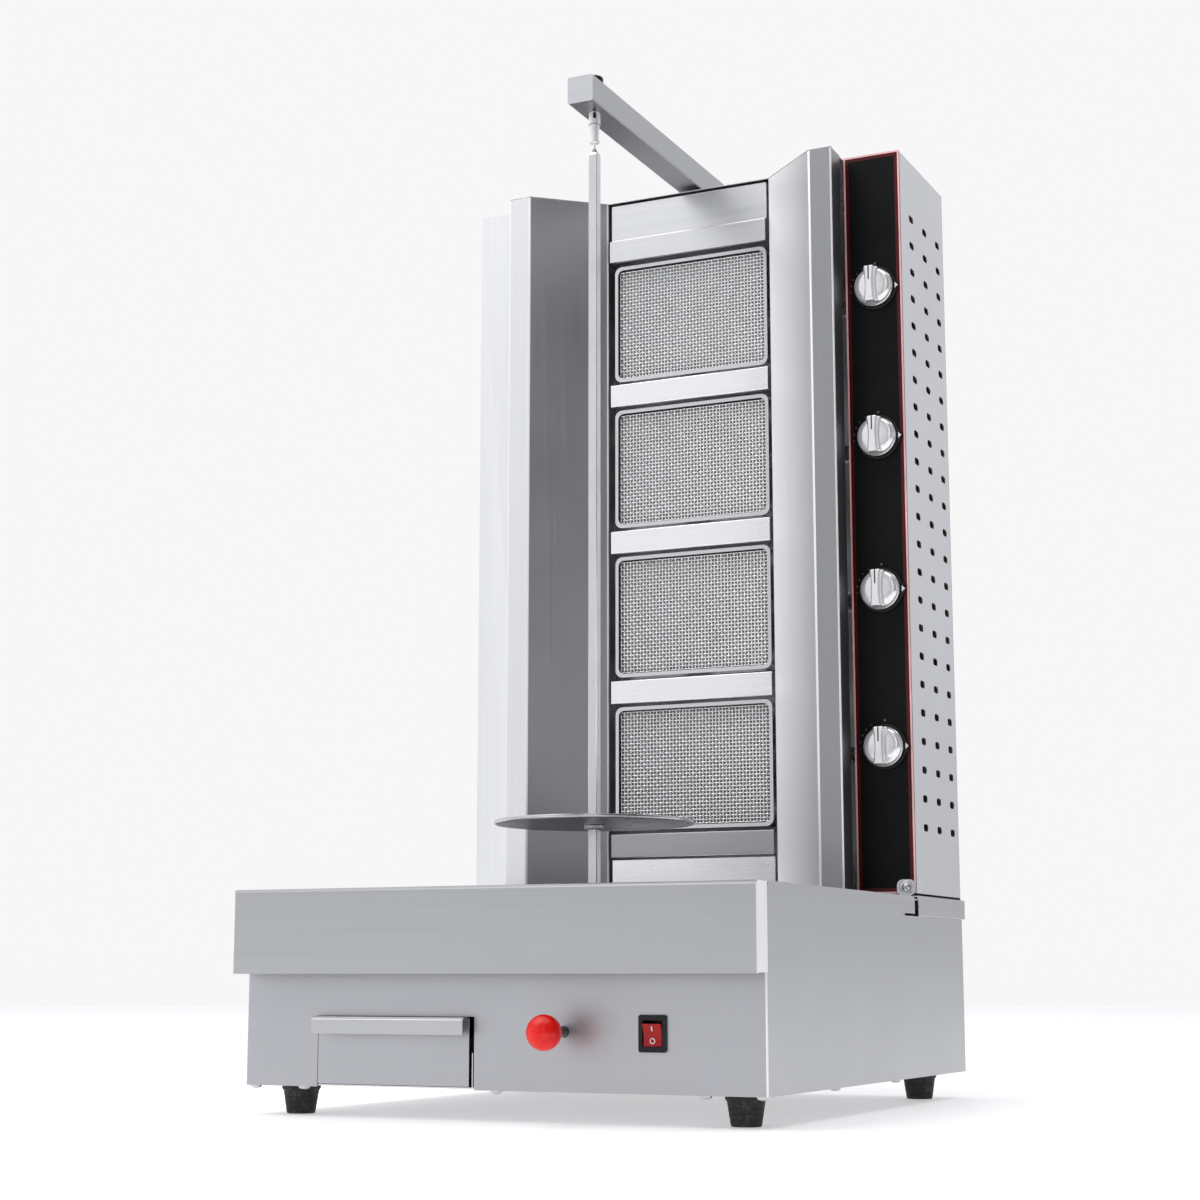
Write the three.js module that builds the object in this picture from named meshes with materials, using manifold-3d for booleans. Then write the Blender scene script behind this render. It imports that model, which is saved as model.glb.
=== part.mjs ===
import * as THREE from 'three'
import Module from 'manifold-3d'
import { mergeVertices } from 'three/addons/utils/BufferGeometryUtils.js'

const wasm = await Module()
wasm.setup()

// Free-standing gas rotisserie oven, millimetres, +X right, +Y to the back, +Z up.
const SHEET = 1.2
const GAP = 0.3

// Base cabinet
const CAB = { half: 272.5, front: -297, back: 313, bottom: 28, top: 216, wall: SHEET }
const DECK = { front: 109.5, z0: 212, z1: 213.5 }
const PAN = { half: 271, rear: 108, floor: 188, rim: 213.8 }
const APRON = { half: 273.7, front: -322, bottom: 134.5, top: 215.5, wall: 1.5, hem: 3.5 }
const BELT = { front: 150.8, back: 325, z0: 195.3, z1: 217, slit: 13, slot: 90 }
const FOOT = { x: 235, yFront: -255, yBack: 258, rTop: 19, rBottom: 14, height: 28 }

// Drip drawer
const DRAWER = { x0: -189.9, x1: -24.6, z0: 30.8, z1: 93.3, box: 245, boxTop: 76, reach: 12, lip: 15 }
const OPENING = { x0: -190.3, x1: -19.3, z1: 95 }
const DRAIN = { x: -150, y: -200, r: 13, bottom: 104, flange: 20 }

// Spit drive and its carriage
const SPIT = { y: -79, side: 10, bottom: 196.3, tip: 1018, shoulder: 1010, pull: 80, push: 15 }
const PLATE = { r: 103, z0: 286, z1: 290.5, hubR: 10.5, hubTop: 297, hubBottom: 281 }
const CHUCK = { r: 13, shaftR: 8, z0: 150, z1: 222, skirtR: 30, socket: 10.4 }
const TRACK = { x: 104, y0: -295.4, y1: 60, low: 168.7, high: 175.3 }
const PUSH = { x: 73.6, z: 82.3, r: 5, ball: 16.2, ballY: -337 }
const SWITCH = { x0: 149.3, x1: 176.6, z0: 64.9, z1: 98, tilt: 8 }

// Tower
const TOWER = { back: 325, half: 267.8, boxInner: 202, boxFront: 159, boxTop: 1056, z0: 213.8, box: 220 }
const WING = { root: 103.6, rootY: 175, strip: 177, edge: 204, front: 110, tail: 140, top: 1053 }
const BAR = { half: 100, top: 827, height: 27, pitch: 177.8, front: 174.6, back: 181.2, count: 4 }
const BURNER = { half: 97.5, tall: 71.5, centre: 903.1, winX: 93.5, winZ: 67.2, front: 181.5, back: 200 }
const HEADER = { top: 1052.4, fold: 1006, bottom: 978.5, face: 178, lip: 172 }
const VENT = { y0: 200.1, dy: 50.64, z0: 292.1, dz: 31.54, rows: 23, columns: 3, long: 16, high: 8 }

// Gas controls
const KNOB = { x: 237, z: 896.5, pitch: 172.8, r: 22, depth: 20, back: 154, stem: 4 }
const BEZEL = { r: 25, nub: 28, y0: 155.3, y1: 158.7 }
const RAIL = { y: 240, r: 9, z0: 236, z1: 960 }
const INLET = { z: 250, end: 352 }

// Top arm
const ARM = { half: 15, z0: 1058.3, z1: 1088.3, front: -115, back: 290, wall: 2 }
const PIN = { neck: 1.1, r: 4.1, collar: 5.5, boss: 6.4, capR: 9.5, capTop: 1100.5 }

const group = new THREE.Group()

const toManifold = (geometry) => {
  const g = geometry.clone()
  g.deleteAttribute('normal')
  g.deleteAttribute('uv')
  const merged = mergeVertices(g, 1e-4)
  return new wasm.Manifold(new wasm.Mesh({
    numProp: 3,
    vertProperties: new Float32Array(merged.attributes.position.array),
    triVerts: new Uint32Array(merged.index.array),
  }))
}

const BASIS = {
  x: new THREE.Matrix4().makeBasis(
    new THREE.Vector3(0, 1, 0), new THREE.Vector3(0, 0, 1), new THREE.Vector3(1, 0, 0)),
  y: new THREE.Matrix4().makeBasis(
    new THREE.Vector3(1, 0, 0), new THREE.Vector3(0, 0, 1), new THREE.Vector3(0, -1, 0)),
  z: new THREE.Matrix4(),
}

// Extrudes a 2-D outline (yz, xz or xy) between two stations of the given axis.
const prism = (axis, outline, a0, a1, curveSegments = 6) => {
  const shape = outline instanceof THREE.Shape ? outline
    : new THREE.Shape(outline.map(([u, v]) => new THREE.Vector2(u, v)))
  const g = new THREE.ExtrudeGeometry(shape, { depth: a1 - a0, bevelEnabled: false, curveSegments })
  g.applyMatrix4(BASIS[axis])
  if (axis === 'x') g.translate(a0, 0, 0)
  if (axis === 'y') g.translate(0, a1, 0)
  if (axis === 'z') g.translate(0, 0, a0)
  return toManifold(g)
}

const box = (x0, x1, y0, y1, z0, z1) => {
  const g = new THREE.BoxGeometry(x1 - x0, y1 - y0, z1 - z0)
  g.translate((x0 + x1) / 2, (y0 + y1) / 2, (z0 + z1) / 2)
  return toManifold(g)
}

// A cylinder or cone frustum along one axis, centred on the two other coordinates.
const rod = (axis, r, a0, a1, u, v, segments = 32, r1 = r) => {
  const g = new THREE.CylinderGeometry(r1, r, a1 - a0, segments)
  g.rotateX(Math.PI / 2)
  g.translate(0, 0, (a0 + a1) / 2)
  if (axis === 'z') g.translate(u, v, 0)
  if (axis === 'y') { g.rotateX(-Math.PI / 2); g.translate(u, 0, v) }
  if (axis === 'x') { g.rotateY(Math.PI / 2); g.translate(0, u, v) }
  return toManifold(g)
}

// A turned solid about a vertical axis; the profile is a closed list of [radius, z].
const turned = (profile, x, y, segments = 32) => {
  const points = profile.map(([r, z]) => new THREE.Vector2(r, z))
  const g = new THREE.LatheGeometry([...points, points[0]], segments)
  g.rotateX(Math.PI / 2)
  g.translate(x, y, 0)
  return toManifold(g)
}

const roundedRect = (u0, u1, v0, v1, r) => {
  const s = new THREE.Shape()
  s.moveTo(u0 + r, v0)
  s.lineTo(u1 - r, v0)
  s.absarc(u1 - r, v0 + r, r, -Math.PI / 2, 0)
  s.lineTo(u1, v1 - r)
  s.absarc(u1 - r, v1 - r, r, 0, Math.PI / 2)
  s.lineTo(u0 + r, v1)
  s.absarc(u0 + r, v1 - r, r, Math.PI / 2, Math.PI)
  s.lineTo(u0, v0 + r)
  s.absarc(u0 + r, v0 + r, r, Math.PI, Math.PI * 1.5)
  return s
}

// The closed outline of folded sheet of thickness t, laid to the left of an open path.
const folded = (path, t) => {
  const points = path.map(([u, v]) => new THREE.Vector2(u, v))
  const offset = points.map((p, i) => {
    const before = i > 0 ? p.clone().sub(points[i - 1]).normalize() : null
    const after = i < points.length - 1 ? points[i + 1].clone().sub(p).normalize() : null
    const a = before ?? after
    const b = after ?? before
    const na = new THREE.Vector2(-a.y, a.x)
    const nb = new THREE.Vector2(-b.y, b.x)
    const mitre = na.clone().add(nb).normalize()
    return p.clone().add(mitre.multiplyScalar(t / mitre.dot(na)))
  })
  return [...points, ...offset.reverse()].map((p) => [p.x, p.y])
}

const mirrorX = (points) => points.map(([u, v]) => [-u, v]).reverse()
const fuse = (...parts) => parts.reduce((a, b) => a.add(b))
const carve = (body, ...cuts) => cuts.reduce((a, b) => a.subtract(b), body)

const addPart = (name, solid, material = 'steel') => {
  const out = solid.getMesh()
  const g = new THREE.BufferGeometry()
  g.setAttribute('position', new THREE.BufferAttribute(new Float32Array(out.vertProperties), 3))
  g.setIndex(new THREE.BufferAttribute(new Uint32Array(out.triVerts), 1))
  g.computeVertexNormals()
  const mesh = new THREE.Mesh(g, new THREE.MeshStandardMaterial({ name: material }))
  mesh.name = name
  group.add(mesh)
}

const burnerZ = (i) => BURNER.centre - BAR.pitch * i
const knobZ = (i) => KNOB.z - KNOB.pitch * i

// An eight-sided long hole, centred on (u, v).
const longHole = (u, v, long, high) => {
  const [a, b] = [long / 2, high / 2]
  return [[a, -0.45 * b], [a, 0.45 * b], [a - 0.6 * b, b], [0.6 * b - a, b],
    [-a, 0.45 * b], [-a, -0.45 * b], [0.6 * b - a, -b], [a - 0.6 * b, -b]].map(([p, q]) => [u + p, v + q])
}

function cabinetShell() {
  const { half, front, back, bottom, top, wall } = CAB
  let body = carve(
    box(-half, half, front, back, bottom, top),
    box(-half + wall, half - wall, front + wall, back - wall, bottom - 1, top + 1),
    box(-half - 1, half + 1, BELT.front - GAP, back + 1, BELT.z0 - GAP, top + 1),
    box(-half - 1, half + 1, front - 1, front + 6, PAN.rim - 0.5 - GAP, top + 1),
    box(OPENING.x0, OPENING.x1, front - 1, front + 2, bottom - 1, OPENING.z1),
    rod('y', PUSH.r + GAP, front - 1, front + 3, PUSH.x, PUSH.z, 32),
    box(SWITCH.x0 + 1.5, SWITCH.x1 - 1.5, front - 1, front + 3, SWITCH.z0 + 1.5, SWITCH.z1 - 1.5),
    rod('y', 8.3, back - 3, back + 1, -150, 80, 24),
  )
  for (const side of [-1, 1]) {
    const x0 = side > 0 ? half - 3 : -half - 1
    const slit = BELT.front - BELT.slit
    body = carve(body,
      box(x0, x0 + 4, BELT.slot, slit + 0.01, BELT.z0 - GAP, BELT.z0 + 2.2),
      prism('x', [[slit, BELT.z0 - GAP], [BELT.front, BELT.z0 - GAP], [BELT.front, top + 1],
        [slit - 6, top + 1], [slit - 5, top - 0.4], [slit - 1.5, top - 1.8], [slit, top - 4]], x0, x0 + 4))
  }
  for (const x of [0, 40, 80, 120, 160]) {
    for (const z of [110, 130, 150]) {
      body = carve(body, prism('y', longHole(x, z, 30, 6), back - 3, back + 1))
    }
  }
  addPart('cabinet_shell', body)
}

function basePlate() {
  const inner = CAB.half - CAB.wall - GAP
  const y0 = CAB.front + CAB.wall + GAP
  const y1 = CAB.back - CAB.wall - GAP
  const body = fuse(
    box(-inner, inner, y0, y1, 29, 30.5),
    box(-inner, -inner + SHEET, y0, y1, 30, 40),
    box(inner - SHEET, inner, y0, y1, 30, 40),
    box(-191.5, -190.3, y0, -45, 30, 62),
    box(-22.4, -21.2, y0, -45, 30, 62),
  )
  addPart('base_plate', body)
}

function feet() {
  const spots = { fl: [-1, FOOT.yFront], fr: [1, FOOT.yFront], rl: [-1, FOOT.yBack], rr: [1, FOOT.yBack] }
  for (const [key, [side, y]] of Object.entries(spots)) {
    const top = FOOT.height
    addPart(`foot_${key}`, turned([
      [0, 0], [FOOT.rBottom - 1, 0], [FOOT.rBottom, 1], [FOOT.rTop - 1.6, top - 6],
      [FOOT.rTop, top - 4], [FOOT.rTop, top], [0, top],
    ], side * FOOT.x, y, 24), 'rubber')
  }
}

function deck() {
  const inner = CAB.half - CAB.wall - GAP
  addPart('deck_plate', carve(
    box(-inner, inner, DECK.front, CAB.back - CAB.wall - GAP, DECK.z0, DECK.z1),
    box(-80, 80, 215, 290, DECK.z0 - 1, DECK.z1 + 1)))
}

function dripPan() {
  const { half, rear, floor, rim } = PAN
  const t = SHEET
  const inside = CAB.front + CAB.wall + GAP
  const slot = { x: 16, y0: SPIT.y - SPIT.pull - 18, y1: SPIT.y + SPIT.push + 18 }
  const collar = prism('z', roundedRect(-slot.x - t, slot.x + t, slot.y0 - t, slot.y1 + t, slot.x), floor, 203)
  const opening = prism('z', roundedRect(-slot.x, slot.x, slot.y0, slot.y1, slot.x - 0.5), floor - 1, 204)
  const trough = carve(
    box(-half, half, inside, rear, floor, rim),
    box(-half + t, half - t, inside + t, rear - t, floor + t, rim + 2))
  const drain = rod('z', DRAIN.r - t, floor - 1, floor + 3, DRAIN.x, DRAIN.y, 28)
  addPart('drip_pan', carve(fuse(trough, collar), opening, drain))

  const foot = floor - GAP
  addPart('drain_spout', carve(
    fuse(rod('z', DRAIN.r, DRAIN.bottom, foot, DRAIN.x, DRAIN.y, 28),
      rod('z', DRAIN.flange, foot - t, foot, DRAIN.x, DRAIN.y, 28)),
    rod('z', DRAIN.r - t, DRAIN.bottom - 1, foot + 1, DRAIN.x, DRAIN.y, 28)))
}

function frontApron() {
  const { front, wall, hem, half, bottom, top } = APRON
  const seam = PAN.rim + GAP
  const lap = CAB.front + CAB.wall + GAP + SHEET
  const sheet = prism('x', [
    [front, bottom], [front + wall, bottom], [front + wall, seam], [lap, seam], [lap, seam + SHEET],
    [front + hem, top], [front + 1, top - 1], [front, top - hem],
  ], -half, half)
  const returns = [-1, 1].map((side) => box(
    side > 0 ? half - wall : -half, side > 0 ? half : -half + wall,
    front + 0.7, CAB.front - GAP, bottom + 0.8, seam + 0.5))
  addPart('front_apron', fuse(sheet, ...returns))
}

function dripDrawer() {
  const { x0, x1, z0, z1, reach } = DRAWER
  const front = CAB.front
  const edge = front - reach
  const tub = carve(
    box(x0 + 2, x1 - 2, front + 1, front + DRAWER.box, z0, DRAWER.boxTop),
    box(x0 + 3.2, x1 - 3.2, front + 1.5, front + DRAWER.box - 1.2, z0 + 1.2, DRAWER.boxTop + 1))
  const face = box(x0, x1, front, front + 1.5, z0, z1)
  const lip = prism('x', folded([
    [edge, z1 - DRAWER.lip], [edge, z1 - 2], [edge + 2, z1], [front + 1.5, z1],
  ], 1.4), x0, x1)
  addPart('drip_drawer', fuse(tub, face, lip))
}

function carriageTrack() {
  const { x, y0, y1, low, high } = TRACK
  const channel = (side) => prism('y', (side > 0 ? (p) => p : mirrorX)([
    [x - 13, low], [x + 1.5, low], [x + 1.5, high + 2], [x - 13, high + 2],
    [x - 13, high], [x, high], [x, low + 2], [x - 13, low + 2],
  ]), y0, y1)
  const cross = (a, b) => box(-x - 1, x + 1, a, b, low - 24, low + 0.5)
  const legs = [-1, 1].map((s) => box(s * x - 6, s * x + 6, y1 - 2, y1, 30.8, low + 1))
  addPart('carriage_track', fuse(channel(-1), channel(1), cross(y0, y0 + 2), cross(y1 - 2, y1), ...legs))
}

function carriage() {
  const z0 = TRACK.low + 2 + GAP
  const z1 = TRACK.high - GAP
  const plate = box(-TRACK.x + GAP, TRACK.x - GAP, SPIT.y - 60, SPIT.y + 60, z0, z1)
  const drop = box(PUSH.x - 11, PUSH.x + 11, SPIT.y - 60, SPIT.y - 57, PUSH.z - 12, z0 + 0.5)
  addPart('motor_carriage', carve(fuse(plate, drop), rod('z', 12, z0 - 1, z1 + 1, 0, SPIT.y, 32)))

  const top = z0 - GAP
  const gearbox = prism('z', roundedRect(-24, 62, SPIT.y - 40, SPIT.y + 40, 10), 122, top)
  const motor = rod('z', 31, 52, 124, 24, SPIT.y, 36)
  const tail = rod('z', 12, 46, 54, 24, SPIT.y, 24)
  const bore = rod('z', CHUCK.shaftR + GAP, CHUCK.z0 - GAP, top + 1, 0, SPIT.y, 32)
  addPart('gear_motor', carve(fuse(gearbox, motor, tail), bore), 'motor')

  addPart('push_rod', fuse(
    rod('y', PUSH.r, PUSH.ballY + 12.5, SPIT.y - 60 - GAP, PUSH.x, PUSH.z, 28),
    rod('y', 3.5, PUSH.ballY + 4, PUSH.ballY + 13, PUSH.x, PUSH.z, 20)), 'chrome')
  const ball = new THREE.SphereGeometry(PUSH.ball, 24, 16)
  ball.translate(PUSH.x, PUSH.ballY, PUSH.z)
  addPart('ball_knob', carve(toManifold(ball),
    rod('y', PUSH.r + GAP, PUSH.ballY + 12.5 - GAP, PUSH.ballY + 20, PUSH.x, PUSH.z, 24),
    rod('y', 3.5 + GAP, PUSH.ballY + 4 - GAP, PUSH.ballY + 14, PUSH.x, PUSH.z, 20)), 'red')
}

function spit() {
  const socket = box(-CHUCK.socket / 2, CHUCK.socket / 2, SPIT.y - CHUCK.socket / 2,
    SPIT.y + CHUCK.socket / 2, SPIT.bottom - GAP, CHUCK.z1 + 1)
  const chuck = turned([
    [0, CHUCK.z0], [CHUCK.shaftR, CHUCK.z0], [CHUCK.shaftR, 180], [CHUCK.r, 184], [CHUCK.r, 206],
    [CHUCK.skirtR, 205], [CHUCK.skirtR, 206.5], [CHUCK.r, 209], [CHUCK.r, CHUCK.z1 - 1.5],
    [CHUCK.r - 1.5, CHUCK.z1], [0, CHUCK.z1],
  ], 0, SPIT.y)
  addPart('spit_chuck', carve(chuck, socket))

  const h = SPIT.side / 2
  const shaft = box(-h, h, SPIT.y - h, SPIT.y + h, SPIT.bottom, SPIT.shoulder)
  const tip = new THREE.CylinderGeometry(2.6, h * Math.SQRT2, SPIT.tip - SPIT.shoulder, 4)
  tip.rotateX(Math.PI / 2)
  tip.rotateZ(Math.PI / 4)
  tip.translate(0, SPIT.y, (SPIT.tip + SPIT.shoulder) / 2)
  const centre = rod('z', PIN.neck + 0.1, SPIT.tip - 9, SPIT.tip + 1, 0, SPIT.y, 20)
  addPart('spit_rod', carve(fuse(shaft, toManifold(tip)), centre))

  const disc = turned([
    [0, PLATE.hubBottom], [PLATE.hubR, PLATE.hubBottom], [PLATE.hubR, PLATE.z0], [PLATE.r - 2, PLATE.z0],
    [PLATE.r, PLATE.z0 + 1.5], [PLATE.r, PLATE.z1 - 1], [PLATE.r - 1.5, PLATE.z1],
    [PLATE.hubR, PLATE.z1], [PLATE.hubR, PLATE.hubTop], [0, PLATE.hubTop],
  ], 0, SPIT.y, 56)
  const hole = box(-h - GAP, h + GAP, SPIT.y - h - GAP, SPIT.y + h + GAP, PLATE.hubBottom - 1, PLATE.hubTop + 1)
  addPart('meat_plate', carve(disc, hole))
}

function topArm() {
  const { half, z0, z1, front, back, wall } = ARM
  const pinHole = rod('z', PIN.r + GAP, z0 - 20, z1 + 1, 0, SPIT.y, 28)
  const tube = carve(
    prism('y', roundedRect(-half, half, z0, z1, 2), front, back, 3),
    box(-half + wall, half - wall, front + wall, back + 1, z0 + wall, z1 - wall))
  const boss = rod('z', PIN.boss, z0 - 13, z0 + 0.5, 0, SPIT.y, 28)
  addPart('top_arm', carve(fuse(tube, boss), pinHole))

  const b = half - wall - GAP
  addPart('arm_mount', fuse(
    box(-b, b, 70, 306, z0 + wall + GAP, z1 - wall - GAP),
    box(-22, 22, 305.5, 322, 1054.8, z1 + 3),
    box(-40, 40, 296, 322, 1054.8, 1057.5)))

  addPart('top_pin', turned([
    [0, SPIT.tip - 8], [PIN.neck, SPIT.tip - 8], [PIN.neck, 1024], [PIN.collar, 1024],
    [PIN.collar, 1028], [PIN.r, 1028.5], [PIN.r, 1093], [0, 1093],
  ], 0, SPIT.y, 28), 'chrome')
  addPart('pin_cap', carve(turned([
    [0, z1 + GAP], [PIN.capR, z1 + GAP], [PIN.capR, PIN.capTop - 2.5], [PIN.capR - 2.5, PIN.capTop],
    [0, PIN.capTop],
  ], 0, SPIT.y, 36), rod('z', PIN.r + GAP, z1 - 1, 1093 + GAP, 0, SPIT.y, 28)), 'black')
}

function wings() {
  const path = [
    [WING.root, 196], [WING.root, WING.rootY], [WING.strip, WING.front], [WING.edge, WING.front],
    [WING.edge, WING.tail],
  ]
  const outline = folded(path, SHEET)
  addPart('wing_right', prism('z', outline, TOWER.z0, WING.top))
  addPart('wing_left', prism('z', mirrorX(outline), TOWER.z0, WING.top))
}

function sideBoxes() {
  const { half, boxInner, boxFront, boxTop, back, box: low } = TOWER
  for (const side of [-1, 1]) {
    const closed = side < 0
    const y0 = closed ? boxFront : boxFront + 1.7 + GAP
    const y1 = back - SHEET - GAP
    const flip = (a, b) => (side > 0 ? [a, b] : [-b, -a])
    const plates = [
      box(...flip(half - SHEET, half), y0, y1, low, boxTop),
      box(...flip(boxInner, boxInner + SHEET), y0, 200, TOWER.z0, boxTop),
      box(...flip(boxInner, half), y0, y1, boxTop - SHEET, boxTop),
    ]
    if (closed) plates.push(box(...flip(boxInner, half), y0, y0 + SHEET, low, boxTop))
    let body = fuse(...plates)
    for (let c = 0; c < VENT.columns; c++) {
      for (let r = 0; r < VENT.rows; r++) {
        const hole = longHole(VENT.y0 + c * VENT.dy, VENT.z0 + r * VENT.dz, VENT.long, VENT.high)
        body = carve(body, prism('x', hole, side * half - 6, side * half + 6))
      }
    }
    addPart(closed ? 'side_box_left' : 'control_box', body)
  }
}

function controlPanel() {
  const { half, boxInner, boxFront, box: low, boxTop } = TOWER
  let panel = prism('y', roundedRect(boxInner, half, low, boxTop, 1.5), boxFront, boxFront + 1.7, 3)
  for (let i = 0; i < 4; i++) {
    panel = carve(panel, rod('y', KNOB.stem + 1, boxFront - 1, boxFront + 3, KNOB.x, knobZ(i), 16))
  }
  addPart('control_panel', panel, 'black')
}

function towerBack() {
  const { half, back, boxTop } = TOWER
  let body = box(-half, half, back - SHEET, back, BELT.z1 + GAP, boxTop)
  for (const x of [-105, 0, 105]) {
    for (let z = 330; z <= 930; z += 60) {
      body = carve(body, prism('y', longHole(x, z, 70, 9), back - 3, back + 2))
    }
  }
  addPart('tower_back', carve(body, rod('y', 11, back - 3, back + 2, KNOB.x, INLET.z, 28)))

  const w = WING
  addPart('tower_roof', prism('z', [
    [-w.edge, w.front], [-w.strip, w.front], [-w.root, w.rootY], [w.root, w.rootY], [w.strip, w.front],
    [w.edge, w.front], [TOWER.boxInner - GAP, w.tail], [TOWER.boxInner - GAP, back - SHEET - GAP],
    [-TOWER.boxInner + GAP, back - SHEET - GAP], [-TOWER.boxInner + GAP, w.tail],
  ], w.top + GAP, 1054.5))

  const side = CAB.half - SHEET
  const band = carve(
    box(-CAB.half, CAB.half, BELT.front, BELT.back, BELT.z0, BELT.z1),
    box(-side, side, BELT.front - 1, BELT.back - SHEET, BELT.z0 - 1, BELT.z1 + 1))
  const ledge = box(-CAB.half, CAB.half, CAB.back + GAP, BELT.back, BELT.z0, BELT.z0 + SHEET)
  const tabs = [-1, 1].map((s) => {
    const flip = (a, b) => (s > 0 ? [a, b] : [-b, -a])
    const plate = prism('y', roundedRect(...flip(247, 267.5), 217.8, 234.8, 6.5), 157.3, 158.5)
    const blade = box(...flip(256, 262), 157.3, 158.5, BELT.z1, 226)
    const foot = box(...flip(256, CAB.half), 153, 158.5, BELT.z1 - SHEET, BELT.z1)
    return fuse(plate, blade, foot)
  })
  addPart('tower_belt', fuse(band, ledge, ...tabs))
}

function burnerBank() {
  const { half, tall, winX, winZ, front, back } = BURNER
  addPart('header_panel', prism('x', folded([
    [HEADER.lip + 6, HEADER.bottom], [HEADER.lip, HEADER.bottom], [HEADER.lip, HEADER.fold - 1.5],
    [HEADER.face, HEADER.fold + 1.5], [HEADER.face, HEADER.top - SHEET], [HEADER.face + 20, HEADER.top - SHEET],
  ].reverse(), SHEET), -BAR.half, BAR.half))

  for (let i = 0; i < BAR.count; i++) {
    const top = BAR.top - BAR.pitch * i
    addPart(`cross_bar_${i + 1}`, carve(
      box(-BAR.half, BAR.half, BAR.front, BAR.back, top - BAR.height, top),
      box(-BAR.half - 1, BAR.half + 1, BAR.front + SHEET, BAR.back + 1,
        top - BAR.height + SHEET, top - SHEET)))
  }
  addPart('lower_panel', box(-BAR.half, BAR.half, 178, 178 + SHEET, TOWER.z0, 264))

  for (let i = 0; i < 4; i++) {
    const z = burnerZ(i)
    const zk = knobZ(i)
    const frame = prism('y', roundedRect(-half, half, z - tall, z + tall, 9), front, back, 4)
    const pocket = prism('y', roundedRect(-winX, winX, z - winZ, z + winZ, 7), front - 1, 189, 4)
    const plenum = prism('x', [
      [back - 1, z - 62], [back + 34, z - 34], [back + 34, z + 34], [back - 1, z + 62],
    ], -84, 84)
    const tube = rod('x', 11, 80, 206, 216, zk, 20)
    const mouth = rod('x', 11, 198, 214, 216, zk, 20, 14)
    const bore = rod('x', 8.5, 79, 215, 216, zk, 16)
    const chamber = prism('x', [
      [back, z - 58], [back + 32, z - 31], [back + 32, z + 31], [back, z + 58],
    ], -82, 82)
    addPart(`burner_${i + 1}`, carve(fuse(frame, plenum, tube, mouth), pocket, bore, chamber), 'burner')
    addPart(`burner_mesh_${i + 1}`, prism('y',
      roundedRect(-winX + GAP, winX - GAP, z - winZ + GAP, z + winZ - GAP, 6.7), 186, 187.2, 4), 'mesh')
  }
}

function gasControls() {
  let rail = rod('z', RAIL.r, RAIL.z0, RAIL.z1, KNOB.x, RAIL.y, 20)
  for (let i = 0; i < 4; i++) {
    const z = knobZ(i)
    rail = fuse(rail,
      box(KNOB.x - 12, KNOB.x + 12, 174, RAIL.y, z - 14, z + 14),
      rod('y', 9.5, 161.6, 175, KNOB.x, z, 18),
      rod('x', 5, 218, KNOB.x, 216, z, 12))
    rail = carve(rail, rod('y', KNOB.stem + GAP, 160, 180, KNOB.x, z, 16))
  }
  rail = fuse(rail, rod('y', 8, RAIL.y, 300, KNOB.x, INLET.z, 18))
  addPart('gas_rail', rail, 'brass')
  addPart('gas_inlet', carve(fuse(
    rod('y', 10, 300 + GAP, INLET.end - 16, KNOB.x, INLET.z, 28),
    rod('y', 14, 306, 318, KNOB.x, INLET.z, 6),
    rod('y', 15, 326, 335, KNOB.x, INLET.z, 6),
    rod('y', 8, 334, INLET.end, KNOB.x, INLET.z, 28)),
  rod('y', 5, 320, INLET.end + 1, KNOB.x, INLET.z, 20)), 'brass')

  for (let i = 0; i < 4; i++) {
    const z = knobZ(i)
    const ring = fuse(rod('y', BEZEL.r, BEZEL.y0, BEZEL.y1, KNOB.x, z, 36),
      prism('y', [
        [KNOB.x + BEZEL.r - 3, z - 8], [KNOB.x + BEZEL.nub, z], [KNOB.x + BEZEL.r - 3, z + 8],
      ], BEZEL.y0, BEZEL.y1))
    addPart(`knob_bezel_${i + 1}`, carve(ring,
      rod('y', KNOB.stem + 1, BEZEL.y0 - 1, BEZEL.y1 + 1, KNOB.x, z, 16)), 'black')

    const front = KNOB.back - KNOB.depth
    const skirt = rod('y', KNOB.r - 1, KNOB.back - 7, KNOB.back, KNOB.x, z, 32, KNOB.r)
    const dome = rod('y', KNOB.r - 6, front + 8, KNOB.back - 6.5, KNOB.x, z, 32, KNOB.r - 1)
    const grip = prism('y', roundedRect(KNOB.x - 5, KNOB.x + 5, z - KNOB.r + 1.5, z + KNOB.r - 1.5, 4.5),
      front, KNOB.back - 6)
    const stem = rod('y', KNOB.stem, KNOB.back - 1, 178, KNOB.x, z, 16)
    addPart(`knob_${i + 1}`, fuse(skirt, dome, grip, stem), 'chrome')
  }
}

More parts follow.
